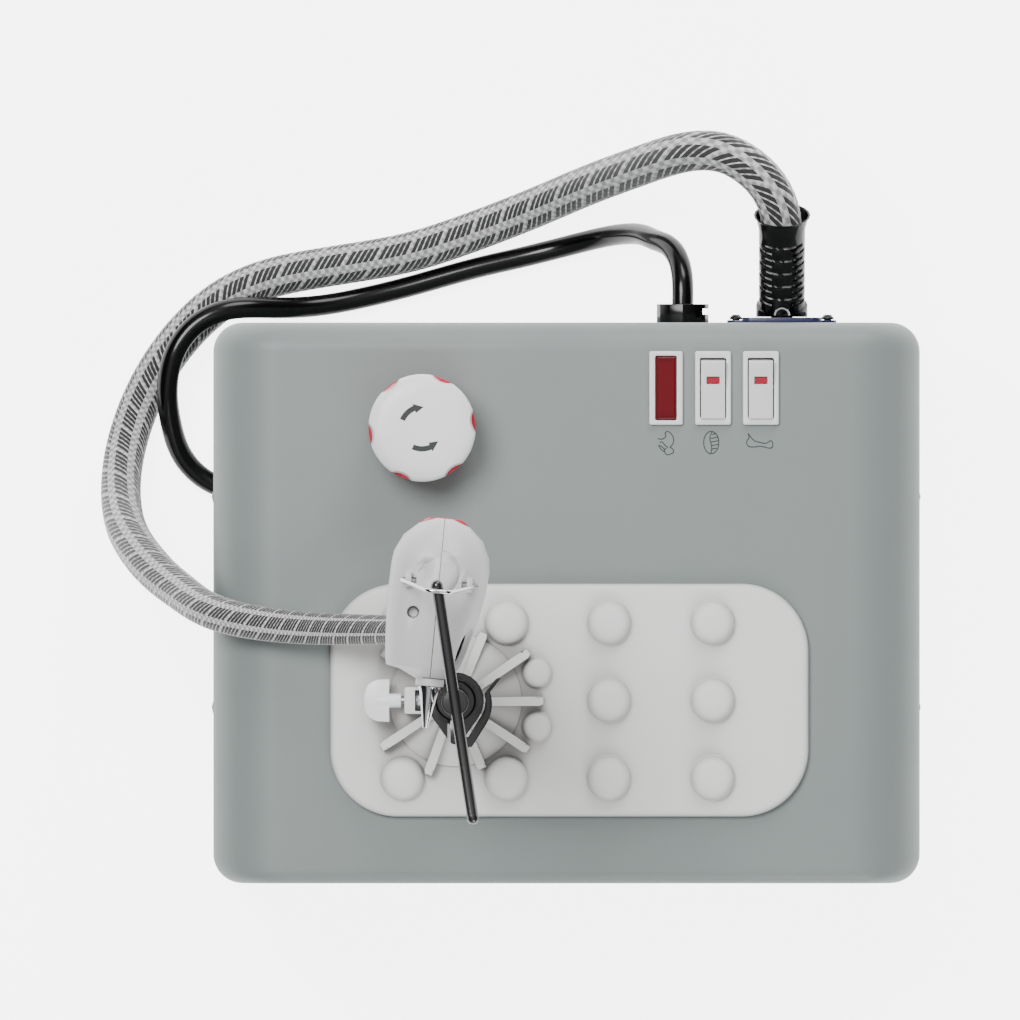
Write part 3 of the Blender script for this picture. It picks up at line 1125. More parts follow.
def make_pole():
    centre = at(STAND_X, STAND_Y, 0)
    low = SOCKET_BASE + SOCKET_FLOOR + SEAT_GAP
    build("stand_pole", ring(INNER_POLE_RADIUS + SEAT_GAP, POLE_RADIUS, low, POLE_TOP, ROUND), DARK_PAINT, centre)
    top = BAR_Z - HUB_DROP - SEAT_GAP
    build("inner_pole", ring(INNER_POLE_RADIUS - INNER_POLE_WALL, INNER_POLE_RADIUS, POLE_TOP - INNER_POLE_SINK, top,
                             SMALL), CHROME, centre)

    lug_y = COLLAR_TIP_RADIUS - COLLAR_TIP
    tangent = collar_tangent()
    outline = arc(0, 0, COLLAR_RADIUS, -tangent, pi + tangent, FINE // 2)
    outline += arc(0, lug_y, COLLAR_TIP_RADIUS, pi + tangent, 2 * pi - tangent, CORNER_STEPS)
    collar = build("lock_collar", prism(outline, COLLAR_LOW, COLLAR_LOW + COLLAR_HEIGHT), DARK_PAINT, centre)
    mid = COLLAR_LOW + COLLAR_HEIGHT / 2
    pivot = centre @ at(*LEVER_PIVOT, 0)
    half = LEVER_THICKNESS / 2
    cuts = ((rod(POLE_RADIUS + SEAT_GAP, COLLAR_LOW - OVERRUN, COLLAR_LOW + COLLAR_HEIGHT + OVERRUN, ROUND), centre),
            (block(-COLLAR_SLIT / 2 - POLE_RADIUS / 3, COLLAR_SLIT / 2 - POLE_RADIUS / 3, -COLLAR_TIP - OVERRUN,
                   -POLE_RADIUS / 2, COLLAR_LOW - OVERRUN, COLLAR_LOW + COLLAR_HEIGHT + OVERRUN), centre),
            (rod(LEVER_SLOT_RADIUS, mid - half - SEAT_GAP, mid + half + SEAT_GAP, SMALL), pivot),
            (rod(LOCK_PIN_RADIUS + SEAT_GAP, COLLAR_LOW - OVERRUN, COLLAR_LOW + COLLAR_HEIGHT + OVERRUN, TINY), pivot))
    for i, (cutter, place) in enumerate(cuts):
        combine(collar, build(f"collar_cut_{i}", cutter, place=place))
    build("lock_pin", rod(LOCK_PIN_RADIUS, COLLAR_LOW, COLLAR_LOW + COLLAR_HEIGHT, TINY), STAINLESS, pivot)

    lever = build("lock_lever", prism(lever_outline(), mid - half, mid + half), DARK_PAINT, centre)
    combine(lever, build("lever_eye", rod(LEVER_EYE_RADIUS, mid - half, mid + half, SMALL), place=pivot), "UNION")
    combine(lever, build("lever_bore", rod(LOCK_PIN_RADIUS + SEAT_GAP, mid - LEVER_THICKNESS, mid + LEVER_THICKNESS,
                                           TINY), place=pivot))
    pivot_at(lever, (STAND_X + LEVER_PIVOT[0], STAND_Y + LEVER_PIVOT[1], mid))

    lean = centre @ Matrix.Rotation(BAR_LEAN, 4, "Z") @ at(0, 0, BAR_Z) @ ALONG_Y_UP
    steps = CORNER_STEPS
    neck = asin_share(BAR_RADIUS / BAR_BALL_RADIUS)
    rear_centre = BAR_REAR - BAR_BALL_RADIUS
    front_centre = -BAR_FRONT + BAR_BALL_RADIUS
    ball = [pi / 2 * k / steps for k in range(steps + 1)]
    profile = [(BAR_BALL_RADIUS * sin(a), front_centre - BAR_BALL_RADIUS * cos(a)) for a in ball]
    profile += [(BAR_RADIUS, front_centre + BAR_BALL_RADIUS * cos(neck)),
                (BAR_RADIUS, rear_centre - BAR_BALL_RADIUS * cos(neck))]
    profile += [(BAR_BALL_RADIUS * cos(a), rear_centre + BAR_BALL_RADIUS * sin(a)) for a in ball]
    profile[0] = (0, profile[0][1])
    profile[-1] = (0, profile[-1][1])
    bar = build("cross_bar", lathe(profile, BAR_SIDES), DARK_PAINT, lean)
    hub_low = BAR_Z - HUB_DROP
    hub = lathe([(0, hub_low - SPIGOT_LENGTH), (SPIGOT_RADIUS, hub_low - SPIGOT_LENGTH), (SPIGOT_RADIUS, hub_low),
                 (HUB_RADIUS, hub_low), (HUB_RADIUS, BAR_Z + HUB_RISE / 2), (HUB_RADIUS - HUB_RISE / 2, BAR_Z + HUB_RISE),
                 (0, BAR_Z + HUB_RISE)], ROUND)
    combine(bar, build("bar_hub", hub, place=centre), "UNION")


def asin_share(share):
    return atan2(share, sqrt(1 - share ** 2))


# Steam gun

def rounded_section(left, right, height, y, z):
    """Closed ring in the XZ plane, a squared ellipse with its own width on each side."""
    points = []
    for k in range(HEAD_POINTS):
        angle = 2 * pi * k / HEAD_POINTS
        c, s = cos(angle), sin(angle)
        width = right if c >= 0 else left
        points.append((width * abs(c) ** (2 / HEAD_POWER) * (1 if c >= 0 else -1), y,
                       z + height * abs(s) ** (2 / HEAD_POWER) * (1 if s >= 0 else -1)))
    return points


def gun_head(inset):
    rings = []
    width, height = HEAD_HALF_WIDTH - inset, HEAD_HALF_HEIGHT - inset
    rear = HEAD_REAR - inset
    for k in range(HEAD_REAR_STEPS, 0, -1):
        angle = pi / 2 * (k - 0.4) / HEAD_REAR_STEPS
        rings.append(rounded_section(width * cos(angle), width * cos(angle), height * cos(angle), rear * sin(angle),
                                     GUN_Z))
    for share, left, right, tall in HEAD_SHARES:
        rings.append(rounded_section(HEAD_HALF_WIDTH * left - inset, HEAD_HALF_WIDTH * right - inset,
                                     HEAD_HALF_HEIGHT * tall - inset, -(HEAD_FRONT - inset) * share, GUN_Z))
    return loft(rings)


def gun_grip(inset):
    rings = []
    low = GRIP_BOTTOM + (GRIP_WALL_BOTTOM if inset else 0)
    for share, wide, deep in GRIP_SHARES:
        z = low + (GUN_Z - low) * share
        across, along = GRIP_HALF_WIDTH * wide - inset, GRIP_HALF_DEPTH * deep - inset
        y = GRIP_BOTTOM_Y + (GRIP_TOP_Y - GRIP_BOTTOM_Y) * share
        rings.append([(across * cos(2 * pi * k / HEAD_POINTS), y + along * sin(2 * pi * k / HEAD_POINTS), z)
                      for k in range(HEAD_POINTS)])
    return loft(rings)


def trim_outline(inner, outer, lobe):
    steps = TRIM_STEPS
    outside, inside = [], []
    for k in range(steps + 1):
        angle = TRIM_HALF_ANGLE * (2 * k / steps - 1)
        bump = sum(max(0, 1 - ((angle - centre) / TRIM_LOBE_WIDTH) ** 2) for centre in (-TRIM_LOBE_ANGLE, TRIM_LOBE_ANGLE))
        radius = outer + lobe * bump
        outside.append((radius * sin(angle), radius * cos(angle)))
        inside.append((inner * sin(angle), inner * cos(angle)))
    return outside + inside[::-1]


def make_gun_shells():
    ear_z = GUN_Z + EAR_LIFT
    inside = build("gun_inside", gun_head(GUN_WALL), place=GUN_FRAME)
    combine(inside, build("gun_grip_inside", gun_grip(GUN_WALL), place=GUN_FRAME), "UNION")
    grip = build("gun_grip", gun_grip(0), place=GUN_FRAME)
    hose_hole = moved(rod(HOSE_END_DIAMETER / 2 + HOSE_ENTRY_GAP, GRIP_BOTTOM - OVERRUN, GRIP_BOTTOM + 2 * GRIP_WALL_BOTTOM,
                          ROUND), at(0, GRIP_BOTTOM_Y, 0))
    nose_hole = moved(rod(NOZZLE_TAIL_RADIUS + SEAT_GAP, -HEAD_FRONT - OVERRUN, -HEAD_FRONT + 3 * GUN_WALL, SMALL),
                      at(0, 0, GUN_Z) @ ALONG_Y_UP)
    half = TRIGGER_WIDTH / 2 + RUNNING_GAP
    slot = block(-half, half, -HEAD_FRONT - OVERRUN, TRIGGER_PIVOT_Y + TRIGGER_EYE_RADIUS + RUNNING_GAP,
                 TRIGGER_PIVOT_Z - TRIGGER_LENGTH - TRIGGER_EYE_RADIUS, TRIGGER_PIVOT_Z + TRIGGER_EYE_RADIUS + RUNNING_GAP)
    groove = moved(prism(trim_outline(TRIM_RADIUS - SEAT_GAP, TRIM_PROUD + OVERRUN, 0), GUN_Z + TRIM_LOW - SEAT_GAP,
                         GUN_Z + TRIM_HIGH + SEAT_GAP), Matrix())
    recess = moved(rod(SCREW_RECESS_RADIUS, GUN_Z + SCREW_RECESS_FLOOR, GUN_Z + HEAD_HALF_HEIGHT + OVERRUN, SMALL),
                   at(SCREW_RECESS_X, SCREW_RECESS_Y, 0))
    cutters = build("gun_cuts", merged(hose_hole, nose_hole, recess), place=GUN_FRAME)
    slot = build("gun_trigger_slot", slot, place=GUN_FRAME)
    groove = build("gun_trim_groove", groove, place=GUN_FRAME)
    reach = TRIGGER_WIDTH + SEAT_GAP
    pins = build("gun_pin_holes", merged(
        *[moved(rod(BAIL_RADIUS + BAIL_HOLE_GAP, BAIL_INNER_X - BAIL_HOLE_GAP, BAIL_OUTER_X, TINY),
                Matrix.Scale(side, 4, (1, 0, 0)) @ at(0, EAR_Y, ear_z) @ ALONG_X_UP) for side in (-1, 1)],
        moved(rod(TRIGGER_PIN_RADIUS + SEAT_GAP, -reach, reach, TINY),
              at(0, TRIGGER_PIVOT_Y, TRIGGER_PIVOT_Z) @ ALONG_X_UP)), place=GUN_FRAME)
    post = build("gun_post", rod(SCREW_RECESS_RADIUS + GUN_WALL / 2, GUN_Z + SCREW_RECESS_FLOOR - GUN_WALL,
                                 GUN_Z + HEAD_HALF_HEIGHT, SMALL), place=GUN_FRAME @ at(SCREW_RECESS_X, SCREW_RECESS_Y, 0))
    combine(post, build("gun_post_limit", gun_head(GUN_WALL / 2), place=GUN_FRAME), "INTERSECT")
    low = GUN_Z + SCREW_RECESS_FLOOR
    high = low + SCREW_HEAD_HEIGHT
    screw = build("gun_screw", lathe([(0, low - OVERRUN / 4), (SCREW_HEAD_RADIUS, low - OVERRUN / 4),
                                      (SCREW_HEAD_RADIUS, (low + high) / 2), (SCREW_HEAD_RADIUS * sqrt(3) / 2, high),
                                      (0, high)], TINY), place=GUN_FRAME @ at(SCREW_RECESS_X, SCREW_RECESS_Y, 0))
    for side, name in ((-1, "gun_shell_left"), (1, "gun_shell_right")):
        shell = build(name, gun_head(0), PALE_PLASTIC, GUN_FRAME)
        combine(shell, grip, "UNION", "MANIFOLD")
        near, far = side * GUN_PARTING / 2, -side * 2 * HEAD_HALF_WIDTH
        other_half = block(min(near, far), max(near, far), -2 * HEAD_FRONT, 2 * HEAD_FRONT,
                           GRIP_BOTTOM - OVERRUN, GUN_Z + 2 * HEAD_HALF_HEIGHT)
        combine(shell, build(name + "_half", other_half, place=GUN_FRAME), solver="MANIFOLD")
        ear = block(side * EAR_X - EAR_THICKNESS / 2, side * EAR_X + EAR_THICKNESS / 2, EAR_Y - EAR_HALF_LENGTH,
                    EAR_Y + EAR_HALF_LENGTH, ear_z - EAR_ROOT, ear_z + EAR_RISE)
        combine(shell, build(name + "_ear", ear, place=GUN_FRAME), "UNION")
        combine(shell, inside)
        if side < 0:
            combine(shell, post, "UNION")
        combine(shell, cutters)
        combine(shell, slot)
        combine(shell, groove)
        combine(shell, pins)
        if side < 0:
            combine(shell, screw, "UNION")
    build("gun_trim", prism(trim_outline(TRIM_RADIUS, TRIM_PROUD, TRIM_LOBE), GUN_Z + TRIM_LOW, GUN_Z + TRIM_HIGH),
          RED_PLASTIC, GUN_FRAME)


def make_gun_inside():
    """Steam tube from the hose up to a small valve behind the nozzle."""
    riser_low = GRIP_BOTTOM + GRIP_WALL_BOTTOM + 2 * SEAT_GAP
    body = moved(rod(GUN_VALVE_RADIUS, GUN_VALVE_FRONT, GUN_VALVE_BACK, SMALL), at(0, 0, GUN_Z) @ ALONG_Y_UP)
    valve = build("gun_valve", body, BRASS, GUN_FRAME)
    riser = strut((0, GRIP_BOTTOM_Y, riser_low), (0, GRIP_TOP_Y, GUN_Z), GUN_TUBE_RADIUS, TINY)
    spout = moved(rod(GUN_TUBE_RADIUS - SEAT_GAP, NOZZLE_TAIL_BACK + SEAT_GAP, GUN_VALVE_BACK - OVERRUN, TINY),
                  at(0, 0, GUN_Z) @ ALONG_Y_UP)
    combine(valve, build("gun_riser", riser, place=GUN_FRAME), "UNION")
    combine(valve, build("gun_spout", spout, place=GUN_FRAME), "UNION")


def make_nozzle():
    axis = GUN_FRAME @ at(0, 0, GUN_Z) @ ALONG_Y_UP
    tail = NOZZLE_TAIL_RADIUS
    build("nozzle_collar", ring(tail + SEAT_GAP, NOZZLE_COLLAR_RADIUS, NOZZLE_COLLAR_FRONT, NOZZLE_COLLAR_BACK, ROUND),
          PALE_PLASTIC, axis)
    base = NOZZLE_COLLAR_FRONT - SEAT_GAP
    bore = NOZZLE_BORE
    profile = [(bore, NOZZLE_TIP), (NOZZLE_TIP_RADIUS, NOZZLE_TIP), (NOZZLE_BASE_RADIUS * 0.8, base - 0.15 * (base - NOZZLE_TIP)),
               (NOZZLE_BASE_RADIUS, base), (tail, base), (tail, NOZZLE_TAIL_BACK), (bore, NOZZLE_TAIL_BACK)]
    build("nozzle", lathe(profile, ROUND, closed=True), CHROME, axis)


def make_trigger():
    """Bowed blade under the nozzle, on a pin across both shells."""
    outline = [(TRIGGER_PIVOT_Y + TRIGGER_LENGTH * y, TRIGGER_PIVOT_Z + TRIGGER_LENGTH * z) for y, z in TRIGGER_SHARES]
    half = TRIGGER_WIDTH / 2
    blade = build("gun_trigger", prism(outline, -half, half), RED_PLASTIC, GUN_FRAME @ ALONG_X)
    pivot = GUN_FRAME @ at(0, TRIGGER_PIVOT_Y, TRIGGER_PIVOT_Z)
    combine(blade, build("trigger_eye", rod(TRIGGER_EYE_RADIUS, -half, half, SMALL), place=pivot @ ALONG_X_UP), "UNION")
    combine(blade, build("trigger_bore", rod(TRIGGER_PIN_RADIUS + SEAT_GAP, -TRIGGER_WIDTH, TRIGGER_WIDTH, TINY),
                         place=pivot @ ALONG_X_UP))
    pivot_at(blade, pivot.translation)
    reach = TRIGGER_WIDTH
    build("trigger_pin", rod(TRIGGER_PIN_RADIUS, -reach, reach, TINY), STAINLESS, pivot @ ALONG_X_UP)


def make_bail():
    """Bent wire whose ends sit in the ears and whose crown lies on the cross bar."""
    low = GUN_Z + EAR_LIFT
    crown = BAR_Z + BAR_RADIUS + SEAT_GAP + BAIL_RADIUS
    corners = [(BAIL_INNER_X, EAR_Y, low), (BAIL_OUTER_X, EAR_Y, low), (BAIL_APEX_X, EAR_Y - BAIL_LEAN, crown)]
    right = [Vector(p) for p in corners]
    left = [Vector((-p.x, p.y, p.z)) for p in right]
    spine = right + left[::-1]
    points = [spine[0]]
    for i in range(1, len(spine) - 1):
        back = (spine[i - 1] - spine[i]).normalized() * BAIL_BEND
        ahead = (spine[i + 1] - spine[i]).normalized() * BAIL_BEND
        for k in range(CORNER_STEPS):
            t = k / (CORNER_STEPS - 1)
            points.append(spine[i] + back * (1 - t) ** 2 + ahead * t ** 2)
    points.append(spine[-1])
    bail = tube("wire_bail", points, BAIL_RADIUS, CHROME, 1)
    pivot = (GUN_FRAME @ at(0, EAR_Y, low)).translation
    for point in bail.data.splines[0].points:
        point.co = (*(GUN_FRAME @ Vector(point.co[:3]) - pivot), 1)
    bail.location = pivot


# Rear wall

def make_gland():
    outline = []
    for k in range(2 * GLAND_LOBES):
        radius = GLAND_RADIUS - (GLAND_LOBE_DEPTH if k % 2 else 0)
        outline.append((radius * cos(pi * k / GLAND_LOBES), radius * sin(pi * k / GLAND_LOBES)))
    face = REAR_WALL + SEAT_GAP
    place = at(GLAND_X, 0, GLAND_Z)
    gland = build("cord_gland", prism([(x, -z) for x, z in outline], face, face + GLAND_PROUD), BLACK_PLASTIC,
                  place @ ALONG_Y)
    thread = rod(GLAND_THREAD_RADIUS, REAR_WALL - GLAND_THREAD_LENGTH, face + OVERRUN, ROUND)
    combine(gland, build("gland_thread", thread, place=place @ ALONG_Y_UP), "UNION")
    bore = rod(CORD_DIAMETER / 2 + SEAT_GAP, REAR_WALL - 2 * GLAND_THREAD_LENGTH, face + 2 * GLAND_PROUD, ROUND)
    notch = block(GLAND_RADIUS - GLAND_NOTCH_WIDTH / 2, GLAND_RADIUS + OVERRUN, face + GLAND_NOTCH_LOW,
                  face + GLAND_NOTCH_HIGH, -GLAND_RADIUS, GLAND_RADIUS)
    combine(gland, build("gland_bore", bore, place=place @ ALONG_Y_UP))
    combine(gland, build("gland_notch", notch, place=place))


def make_hose_outlet():
    """Flange plate on the wall, slotted sleeve tilted up from it, and the brass nipple through both."""
    face = REAR_WALL + SEAT_GAP
    place = at(SLEEVE_X, 0, SLEEVE_Z)
    plate = build("hose_flange", prism(rectangle(FLANGE_WIDTH, FLANGE_HEIGHT, FLANGE_CORNER), face,
                                       face + FLANGE_THICKNESS), NAVY_PLASTIC, place @ ALONG_Y)
    ears = build("flange_ears", prism(rectangle(FLANGE_EAR_WIDTH, FLANGE_EAR_HEIGHT, FLANGE_EAR_HEIGHT / 2 - SEAT_GAP),
                                      face, face + FLANGE_EAR_THICKNESS), place=place @ ALONG_Y)
    combine(plate, ears, "UNION")
    holes = [moved(rod(FLANGE_BORE, REAR_WALL, face + 2 * FLANGE_THICKNESS, ROUND), ALONG_Y_UP)]
    holes += [moved(rod(FLANGE_SCREW_RADIUS + SEAT_GAP, REAR_WALL, face + 2 * FLANGE_THICKNESS, TINY),
                    at(side * FLANGE_SCREW_X, 0, 0) @ ALONG_Y_UP) for side in (-1, 1)]
    combine(plate, build("flange_holes", merged(*holes), place=place))

    seat = face + FLANGE_EAR_THICKNESS + SEAT_GAP
    head = seat + FLANGE_SCREW_HEAD_HEIGHT
    profile = [(0, seat - FLANGE_SCREW_LENGTH), (FLANGE_SCREW_RADIUS, seat - FLANGE_SCREW_LENGTH),
               (FLANGE_SCREW_RADIUS, seat), (FLANGE_SCREW_HEAD_RADIUS, seat),
               (FLANGE_SCREW_HEAD_RADIUS, seat + FLANGE_SCREW_HEAD_HEIGHT / 3),
               (FLANGE_SCREW_HEAD_RADIUS / 2, head), (0, head)]
    for side, name in ((-1, "flange_screw_left"), (1, "flange_screw_right")):
        build(name, lathe(profile, TINY), BLACK_PLASTIC, place @ at(side * FLANGE_SCREW_X, 0, 0) @ ALONG_Y_UP)

    tilt = at(SLEEVE_X, REAR_WALL, SLEEVE_Z) @ Matrix.Rotation(SLEEVE_TILT, 4, "X") @ ALONG_Y_UP
    root = -SLEEVE_COLLAR_LENGTH
    mouth = SLEEVE_LENGTH
    flare = mouth - SLEEVE_MOUTH_LENGTH
    bore = SLEEVE_BORE
    profile = [(bore, root), (SLEEVE_COLLAR_RADIUS, root), (SLEEVE_COLLAR_RADIUS, SLEEVE_COLLAR_LENGTH),
               (SLEEVE_RADIUS, SLEEVE_COLLAR_LENGTH), (SLEEVE_RADIUS, flare),
               (SLEEVE_MOUTH_RADIUS - SLEEVE_LIP, mouth - SLEEVE_LIP), (SLEEVE_MOUTH_RADIUS, mouth),
               (SLEEVE_MOUTH_RADIUS - SLEEVE_LIP, mouth), (bore, flare)]
    sleeve = build("hose_sleeve", lathe(profile, SLEEVE_SIDES, closed=True), BLACK_RUBBER, tilt)
    back = block(-FLANGE_WIDTH, FLANGE_WIDTH, REAR_WALL - FLANGE_WIDTH, face + FLANGE_THICKNESS + SEAT_GAP,
                 -FLANGE_WIDTH, FLANGE_WIDTH)
    combine(sleeve, build("sleeve_back", back, place=place))
    slots = []
    for k in range(SLEEVE_SLOTS):
        low = SLEEVE_SLOT_FIRST + k * SLEEVE_SLOT_PITCH
        turn = Matrix.Rotation(pi / 2 if k % 2 else 0, 4, "Z")
        for side in (-1, 1):
            near, far = SLEEVE_BRIDGE_HALF, SLEEVE_RADIUS + OVERRUN
            slots.append(moved(block(min(side * near, side * far), max(side * near, side * far), -far, far,
                                     low, low + SLEEVE_SLOT_WIDTH), turn))
    combine(sleeve, build("sleeve_slots", merged(*slots), place=tilt))

    start = HOSE_ROUTE[0]
    run = hypot(start[1] - REAR_WALL, start[2] - SLEEVE_Z)
    nipple_end = run - 2 * SEAT_GAP
    bend = lathe([(0, 0), (INLET_RADIUS, 0), (INLET_RADIUS, nipple_end), (0, nipple_end)], SMALL)
    nipple = build("hose_inlet", bend, BRASS, tilt)
    straight = rod(INLET_RADIUS, REAR_WALL - INLET_HEX_LENGTH - VALVE_DEPTH / 3, REAR_WALL + INLET_RADIUS / 2, SMALL)
    combine(nipple, build("inlet_straight", straight, place=place @ ALONG_Y_UP), "UNION")
    corner = INLET_HEX_RADIUS
    hexagon = [(corner * cos(pi / 3 * k), corner * sin(pi / 3 * k)) for k in range(6)]
    inner_face = REAR_WALL - SHEET - SEAT_GAP
    combine(nipple, build("inlet_hex", prism(hexagon, inner_face - INLET_HEX_LENGTH, inner_face),
                          place=place @ ALONG_Y), "UNION")

    half_circle = arc(0, 0, CLIP_RADIUS, 0, pi, 2 * CORNER_STEPS)
    foot = face + FLANGE_THICKNESS + CLIP_WIRE + SEAT_GAP
    clip = [Vector((SLEEVE_X + x, foot + y, SLEEVE_Z + CLIP_LIFT)) for x, y in half_circle]
    tube("sleeve_clip", clip, CLIP_WIRE, CHROME, 1)


# Inside the housing

def make_valve():
    nipple_back = REAR_WALL - INLET_HEX_LENGTH - VALVE_DEPTH / 3
    y1 = nipple_back - SEAT_GAP
    y0 = y1 - VALVE_DEPTH
    low = SLEEVE_Z - VALVE_HEIGHT / 2
    high = SLEEVE_Z + VALVE_HEIGHT / 2
    build("valve_body", block(SLEEVE_X - VALVE_WIDTH / 2, SLEEVE_X + VALVE_WIDTH / 2, y0, y1, low, high), BRASS)
    coil = prism(rectangle(COIL_WIDTH, COIL_DEPTH, COIL_CORNER, SLEEVE_X, (y0 + y1) / 2), high + SEAT_GAP,
                 high + SEAT_GAP + COIL_HEIGHT)
    build("valve_coil", coil, BLACK_PLASTIC)
    port = tank_port(PIPE_PORT_ANGLE, PIPE_PORT_Y)
    start = port @ Vector((0, 0, BOILER_RADIUS + PORT_BOSS_HEIGHT + SEAT_GAP))
    rise = port @ Vector((0, 0, BOILER_RADIUS + PORT_BOSS_HEIGHT + 3 * PIPE_RADIUS))
    inlet = Vector((SLEEVE_X, y0 - SEAT_GAP, SLEEVE_Z))
    ahead = inlet - Vector((0, 4 * PIPE_RADIUS, 0))
    middle = (rise + ahead) / 2
    route, _ = smooth_route([tuple(p) for p in (start, rise, middle, ahead, inlet)], 2.5 * PIPE_RADIUS)
    tube("steam_pipe", route, PIPE_RADIUS, COPPER, 2)


def make_pressure_switch():
    stem_low = BOILER_RADIUS + PORT_BOSS_HEIGHT + SEAT_GAP
    body_low = stem_low + PORT_BOSS_HEIGHT
    profile = [(0, stem_low), (PRESSURE_STEM_RADIUS, stem_low), (PRESSURE_STEM_RADIUS, body_low),
               (PRESSURE_RADIUS, body_low), (PRESSURE_RADIUS, body_low + PRESSURE_LENGTH),
               (0, body_low + PRESSURE_LENGTH)]
    build("pressure_switch", lathe(profile, ROUND), BLACK_PLASTIC, tank_port(PRESSURE_ANGLE, PRESSURE_Y))


def make_terminal_block():
    low = PLATE_TOP + SEAT_GAP
    x0 = TERMINAL_X - TERMINAL_WIDTH / 2
    body = build("terminal_block", block(x0, x0 + TERMINAL_WIDTH, TERMINAL_Y - TERMINAL_DEPTH / 2,
                                         TERMINAL_Y + TERMINAL_DEPTH / 2, low, low + TERMINAL_HEIGHT), WHITE_PLASTIC)
    pitch = TERMINAL_WIDTH / TERMINAL_POLES
    wells = [moved(rod(TERMINAL_WELL_RADIUS, low + TERMINAL_HEIGHT - TERMINAL_WELL_DEPTH, low + TERMINAL_HEIGHT + OVERRUN,
                       TINY), at(x0 + pitch * (k + 0.5), TERMINAL_Y, 0)) for k in range(TERMINAL_POLES)]
    combine(body, build("terminal_wells", merged(*wells)))


# Mains cord and steam hose

def coil_points():
    """Two layers: a spiral in on the floor, a climb where it reverses, and a spiral out on top."""
    pitch = CORD_DIAMETER + COIL_TURN_GAP
    outer = COIL_MEAN_RADIUS + pitch * COIL_TURNS_PER_LAYER / 2
    inner = outer - pitch * COIL_TURNS_PER_LAYER
    y = CORD_ROUTE[-1][1] - outer
    low = CORD_DIAMETER / 2 + COIL_LIFT
    turns = COIL_TURNS_PER_LAYER
    points = []
    total = round((2 * turns + 0.5) * COIL_POINTS_PER_TURN)
    for k in range(total + 1):
        turn = k / COIL_POINTS_PER_TURN
        if turn <= turns:
            radius, z = outer - pitch * turn, low
        elif turn <= turns + 0.5:
            share = (turn - turns) / 0.5
            radius, z = inner - COIL_CLIMB_DIP * sin(pi * share), low + pitch * (1 - cos(pi * share)) / 2
        else:
            radius, z = inner + pitch * (turn - turns - 0.5), low + pitch
        angle = pi / 2 - 2 * pi * turn
        points.append(Vector((COIL_X + radius * cos(angle), y + radius * sin(angle), z)))
    return points


def coil_self_gap(points):
    """Least gap between stretches of the coil that are not neighbours along the cord."""
    p = np.array(points)
    skip = COIL_POINTS_PER_TURN // 3
    least = 1.0
    for i in range(len(p)):
        rest = p[i + skip:]
        if len(rest):
            least = min(least, np.linalg.norm(rest - p[i], axis=1).min())
    return least - CORD_DIAMETER


def make_cord():
    route, _ = smooth_route(CORD_ROUTE, CORD_STEP_DIAMETERS * CORD_DIAMETER)
    tube("mains_cord", route, CORD_DIAMETER / 2, BLACK_RUBBER, 3)
    points = coil_points()
    print("Least gap of the coil to itself, mm:", round(coil_self_gap(points) * 1000, 2))
    first, last = points[0], points[-1]
    lead = Vector((CORD_ROUTE[-1][0] + SEAT_GAP, first.y, CORD_ROUTE[-1][2]))
    points[0] = Vector((first.x, first.y, lead.z))
    tail = Vector((last.x + COIL_TAIL, last.y, PLUG_RADIUS))
    straight = CORD_DIAMETER
    ease = [last + (tail - last) * share for share in (0.25, 0.5, 0.75)]
    for share, point in zip((0.25, 0.5, 0.75), ease):
        point.z = last.z + (tail.z - last.z) * (1 - cos(pi * share)) / 2
    path = [lead] + points + ease + [tail - Vector((straight, 0, 0)), tail]
    tube("cord_coil", path, CORD_DIAMETER / 2, BLACK_RUBBER, 1)
    make_tie(points)
    make_plug(tail)


def make_tie(points):
    """Strap once round the wound section of the coil."""
    pitch = CORD_DIAMETER + COIL_TURN_GAP
    outer = COIL_MEAN_RADIUS + pitch * COIL_TURNS_PER_LAYER / 2
    inner = outer - pitch * COIL_TURNS_PER_LAYER
    y = CORD_ROUTE[-1][1] - outer
    reach = CORD_DIAMETER / 2 + SEAT_GAP
    low, high = COIL_LIFT - SEAT_GAP, CORD_DIAMETER + pitch + COIL_LIFT + SEAT_GAP
    r0, r1 = inner - COIL_CLIMB_DIP - reach, outer + reach
    place = at(COIL_X, y, 0) @ Matrix.Rotation(TIE_ANGLE, 4, "Z")
    upright = Matrix(((1, 0, 0, 0), (0, 0, -1, 0), (0, 1, 0, 0), (0, 0, 0, 1)))
    corner = CORD_DIAMETER / 3
    outside = filleted([(r0 - TIE_WALL, low - TIE_WALL, corner), (r1 + TIE_WALL, low - TIE_WALL, corner),
                        (r1 + TIE_WALL, high + TIE_WALL, corner), (r0 - TIE_WALL, high + TIE_WALL, corner)], 3)
    inside = filleted([(r0, low, corner - TIE_WALL), (r1, low, corner - TIE_WALL), (r1, high, corner - TIE_WALL),
                       (r0, high, corner - TIE_WALL)], 3)
    tie = build("cord_tie", prism(outside, -TIE_WIDTH / 2, TIE_WIDTH / 2), BLACK_PLASTIC, place @ upright)
    combine(tie, build("tie_inside", prism(inside, -TIE_WIDTH, TIE_WIDTH), place=place @ upright))


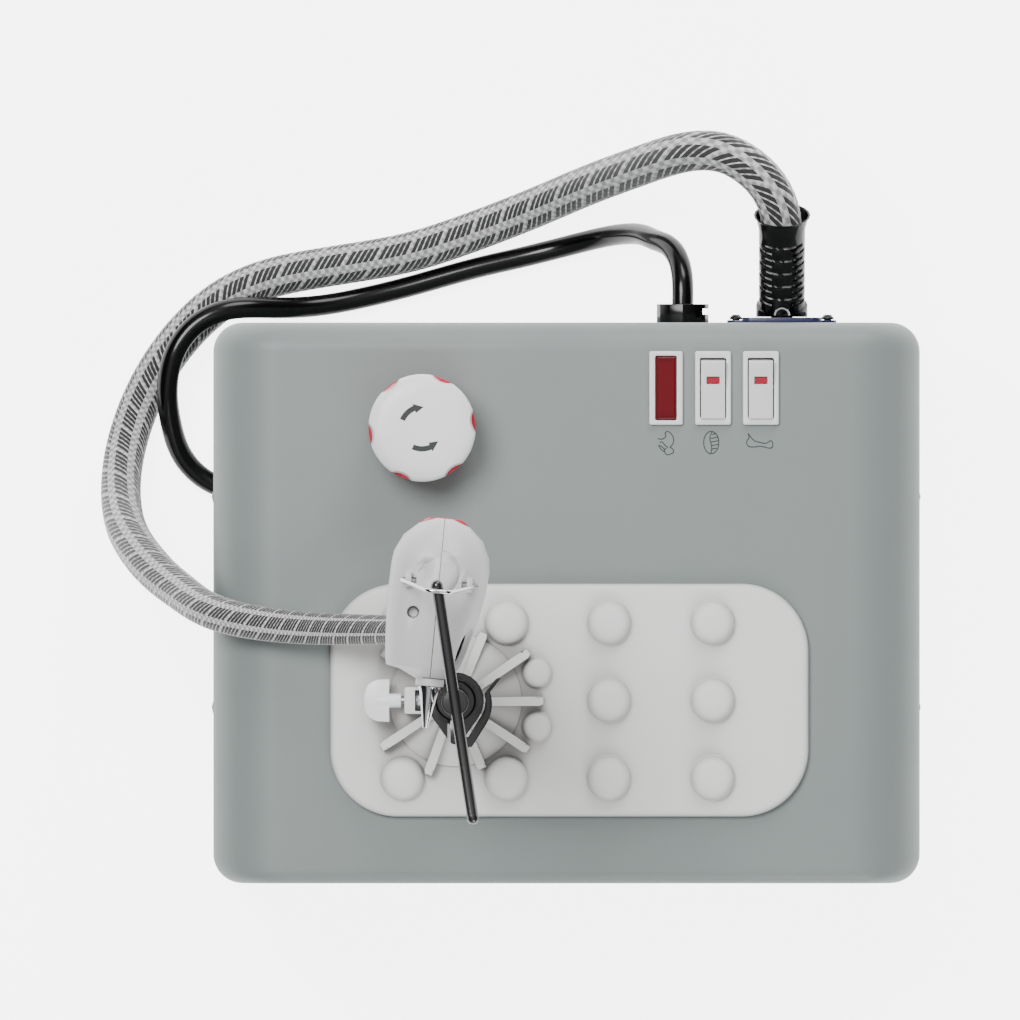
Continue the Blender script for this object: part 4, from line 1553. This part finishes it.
def make_plug(tail):
    """Round plug moulded with its two pins, lying on its side with the pins along +X."""
    start = SEAT_GAP
    relief = start + PLUG_RELIEF_LENGTH
    grip = relief + PLUG_GRIP_LENGTH
    face = grip + PLUG_LENGTH_BODY
    entry = CORD_DIAMETER / 2 + SEAT_GAP
    profile = [(0, start), (entry, start), (PLUG_RELIEF_RADIUS, relief), (PLUG_GRIP_RADIUS, relief + PLUG_GRIP_LENGTH / 4),
               (PLUG_GRIP_RADIUS, grip), (PLUG_RADIUS - SEAT_GAP, grip + PLUG_LENGTH_BODY / 3),
               (PLUG_RADIUS - SEAT_GAP, face), (0, face)]
    place = Matrix.Translation(tail) @ ALONG_X_UP
    plug = build("plug_body", lathe(profile, ROUND), BLACK_RUBBER, place)
    pin_back = face - PIN_LENGTH / 3
    pins = [moved(lathe([(0, pin_back), (PIN_RADIUS, pin_back), (PIN_RADIUS, face + PIN_LENGTH - PIN_RADIUS),
                         (PIN_RADIUS / 2, face + PIN_LENGTH), (0, face + PIN_LENGTH)], TINY),
                  at(0, side * PIN_SPACING / 2, 0)) for side in (-1, 1)]
    combine(plug, build("plug_pins", merged(*pins), place=place), "UNION")


def hose_share(left):
    """Share of the full diameter at a distance before the gun's end."""
    if left < HOSE_NECK_AT:
        size = HOSE_END_DIAMETER + (HOSE_NECK_DIAMETER - HOSE_END_DIAMETER) * left / HOSE_NECK_AT
    elif left < HOSE_FULL_AT:
        size = HOSE_NECK_DIAMETER + (HOSE_DIAMETER - HOSE_NECK_DIAMETER) * (left - HOSE_NECK_AT) / (
            HOSE_FULL_AT - HOSE_NECK_AT)
    else:
        size = HOSE_DIAMETER
    return size / HOSE_DIAMETER


def make_hose():
    route, stops = smooth_route(HOSE_ROUTE, HOSE_STEP_DIAMETERS * HOSE_DIAMETER)
    shares = [hose_share(stops[-1] - stop) for stop in stops]
    tube("steam_hose", route, HOSE_DIAMETER / 2, BRAID, 4, shares)


def main():
    for obj in list(bpy.data.objects):
        bpy.data.objects.remove(obj)
    make_housing()
    make_feet()
    make_boiler()
    make_heater()
    make_cap()
    make_lamp()
    for number, x in enumerate(SWITCH_X, 1):
        make_switch(number, x)
    make_mat()
    make_socket()
    make_clamp()
    make_pole()
    make_gun_shells()
    make_gun_inside()
    make_nozzle()
    make_trigger()
    make_bail()
    make_gland()
    make_hose_outlet()
    make_valve()
    make_pressure_switch()
    make_terminal_block()
    make_cord()
    make_hose()


main()
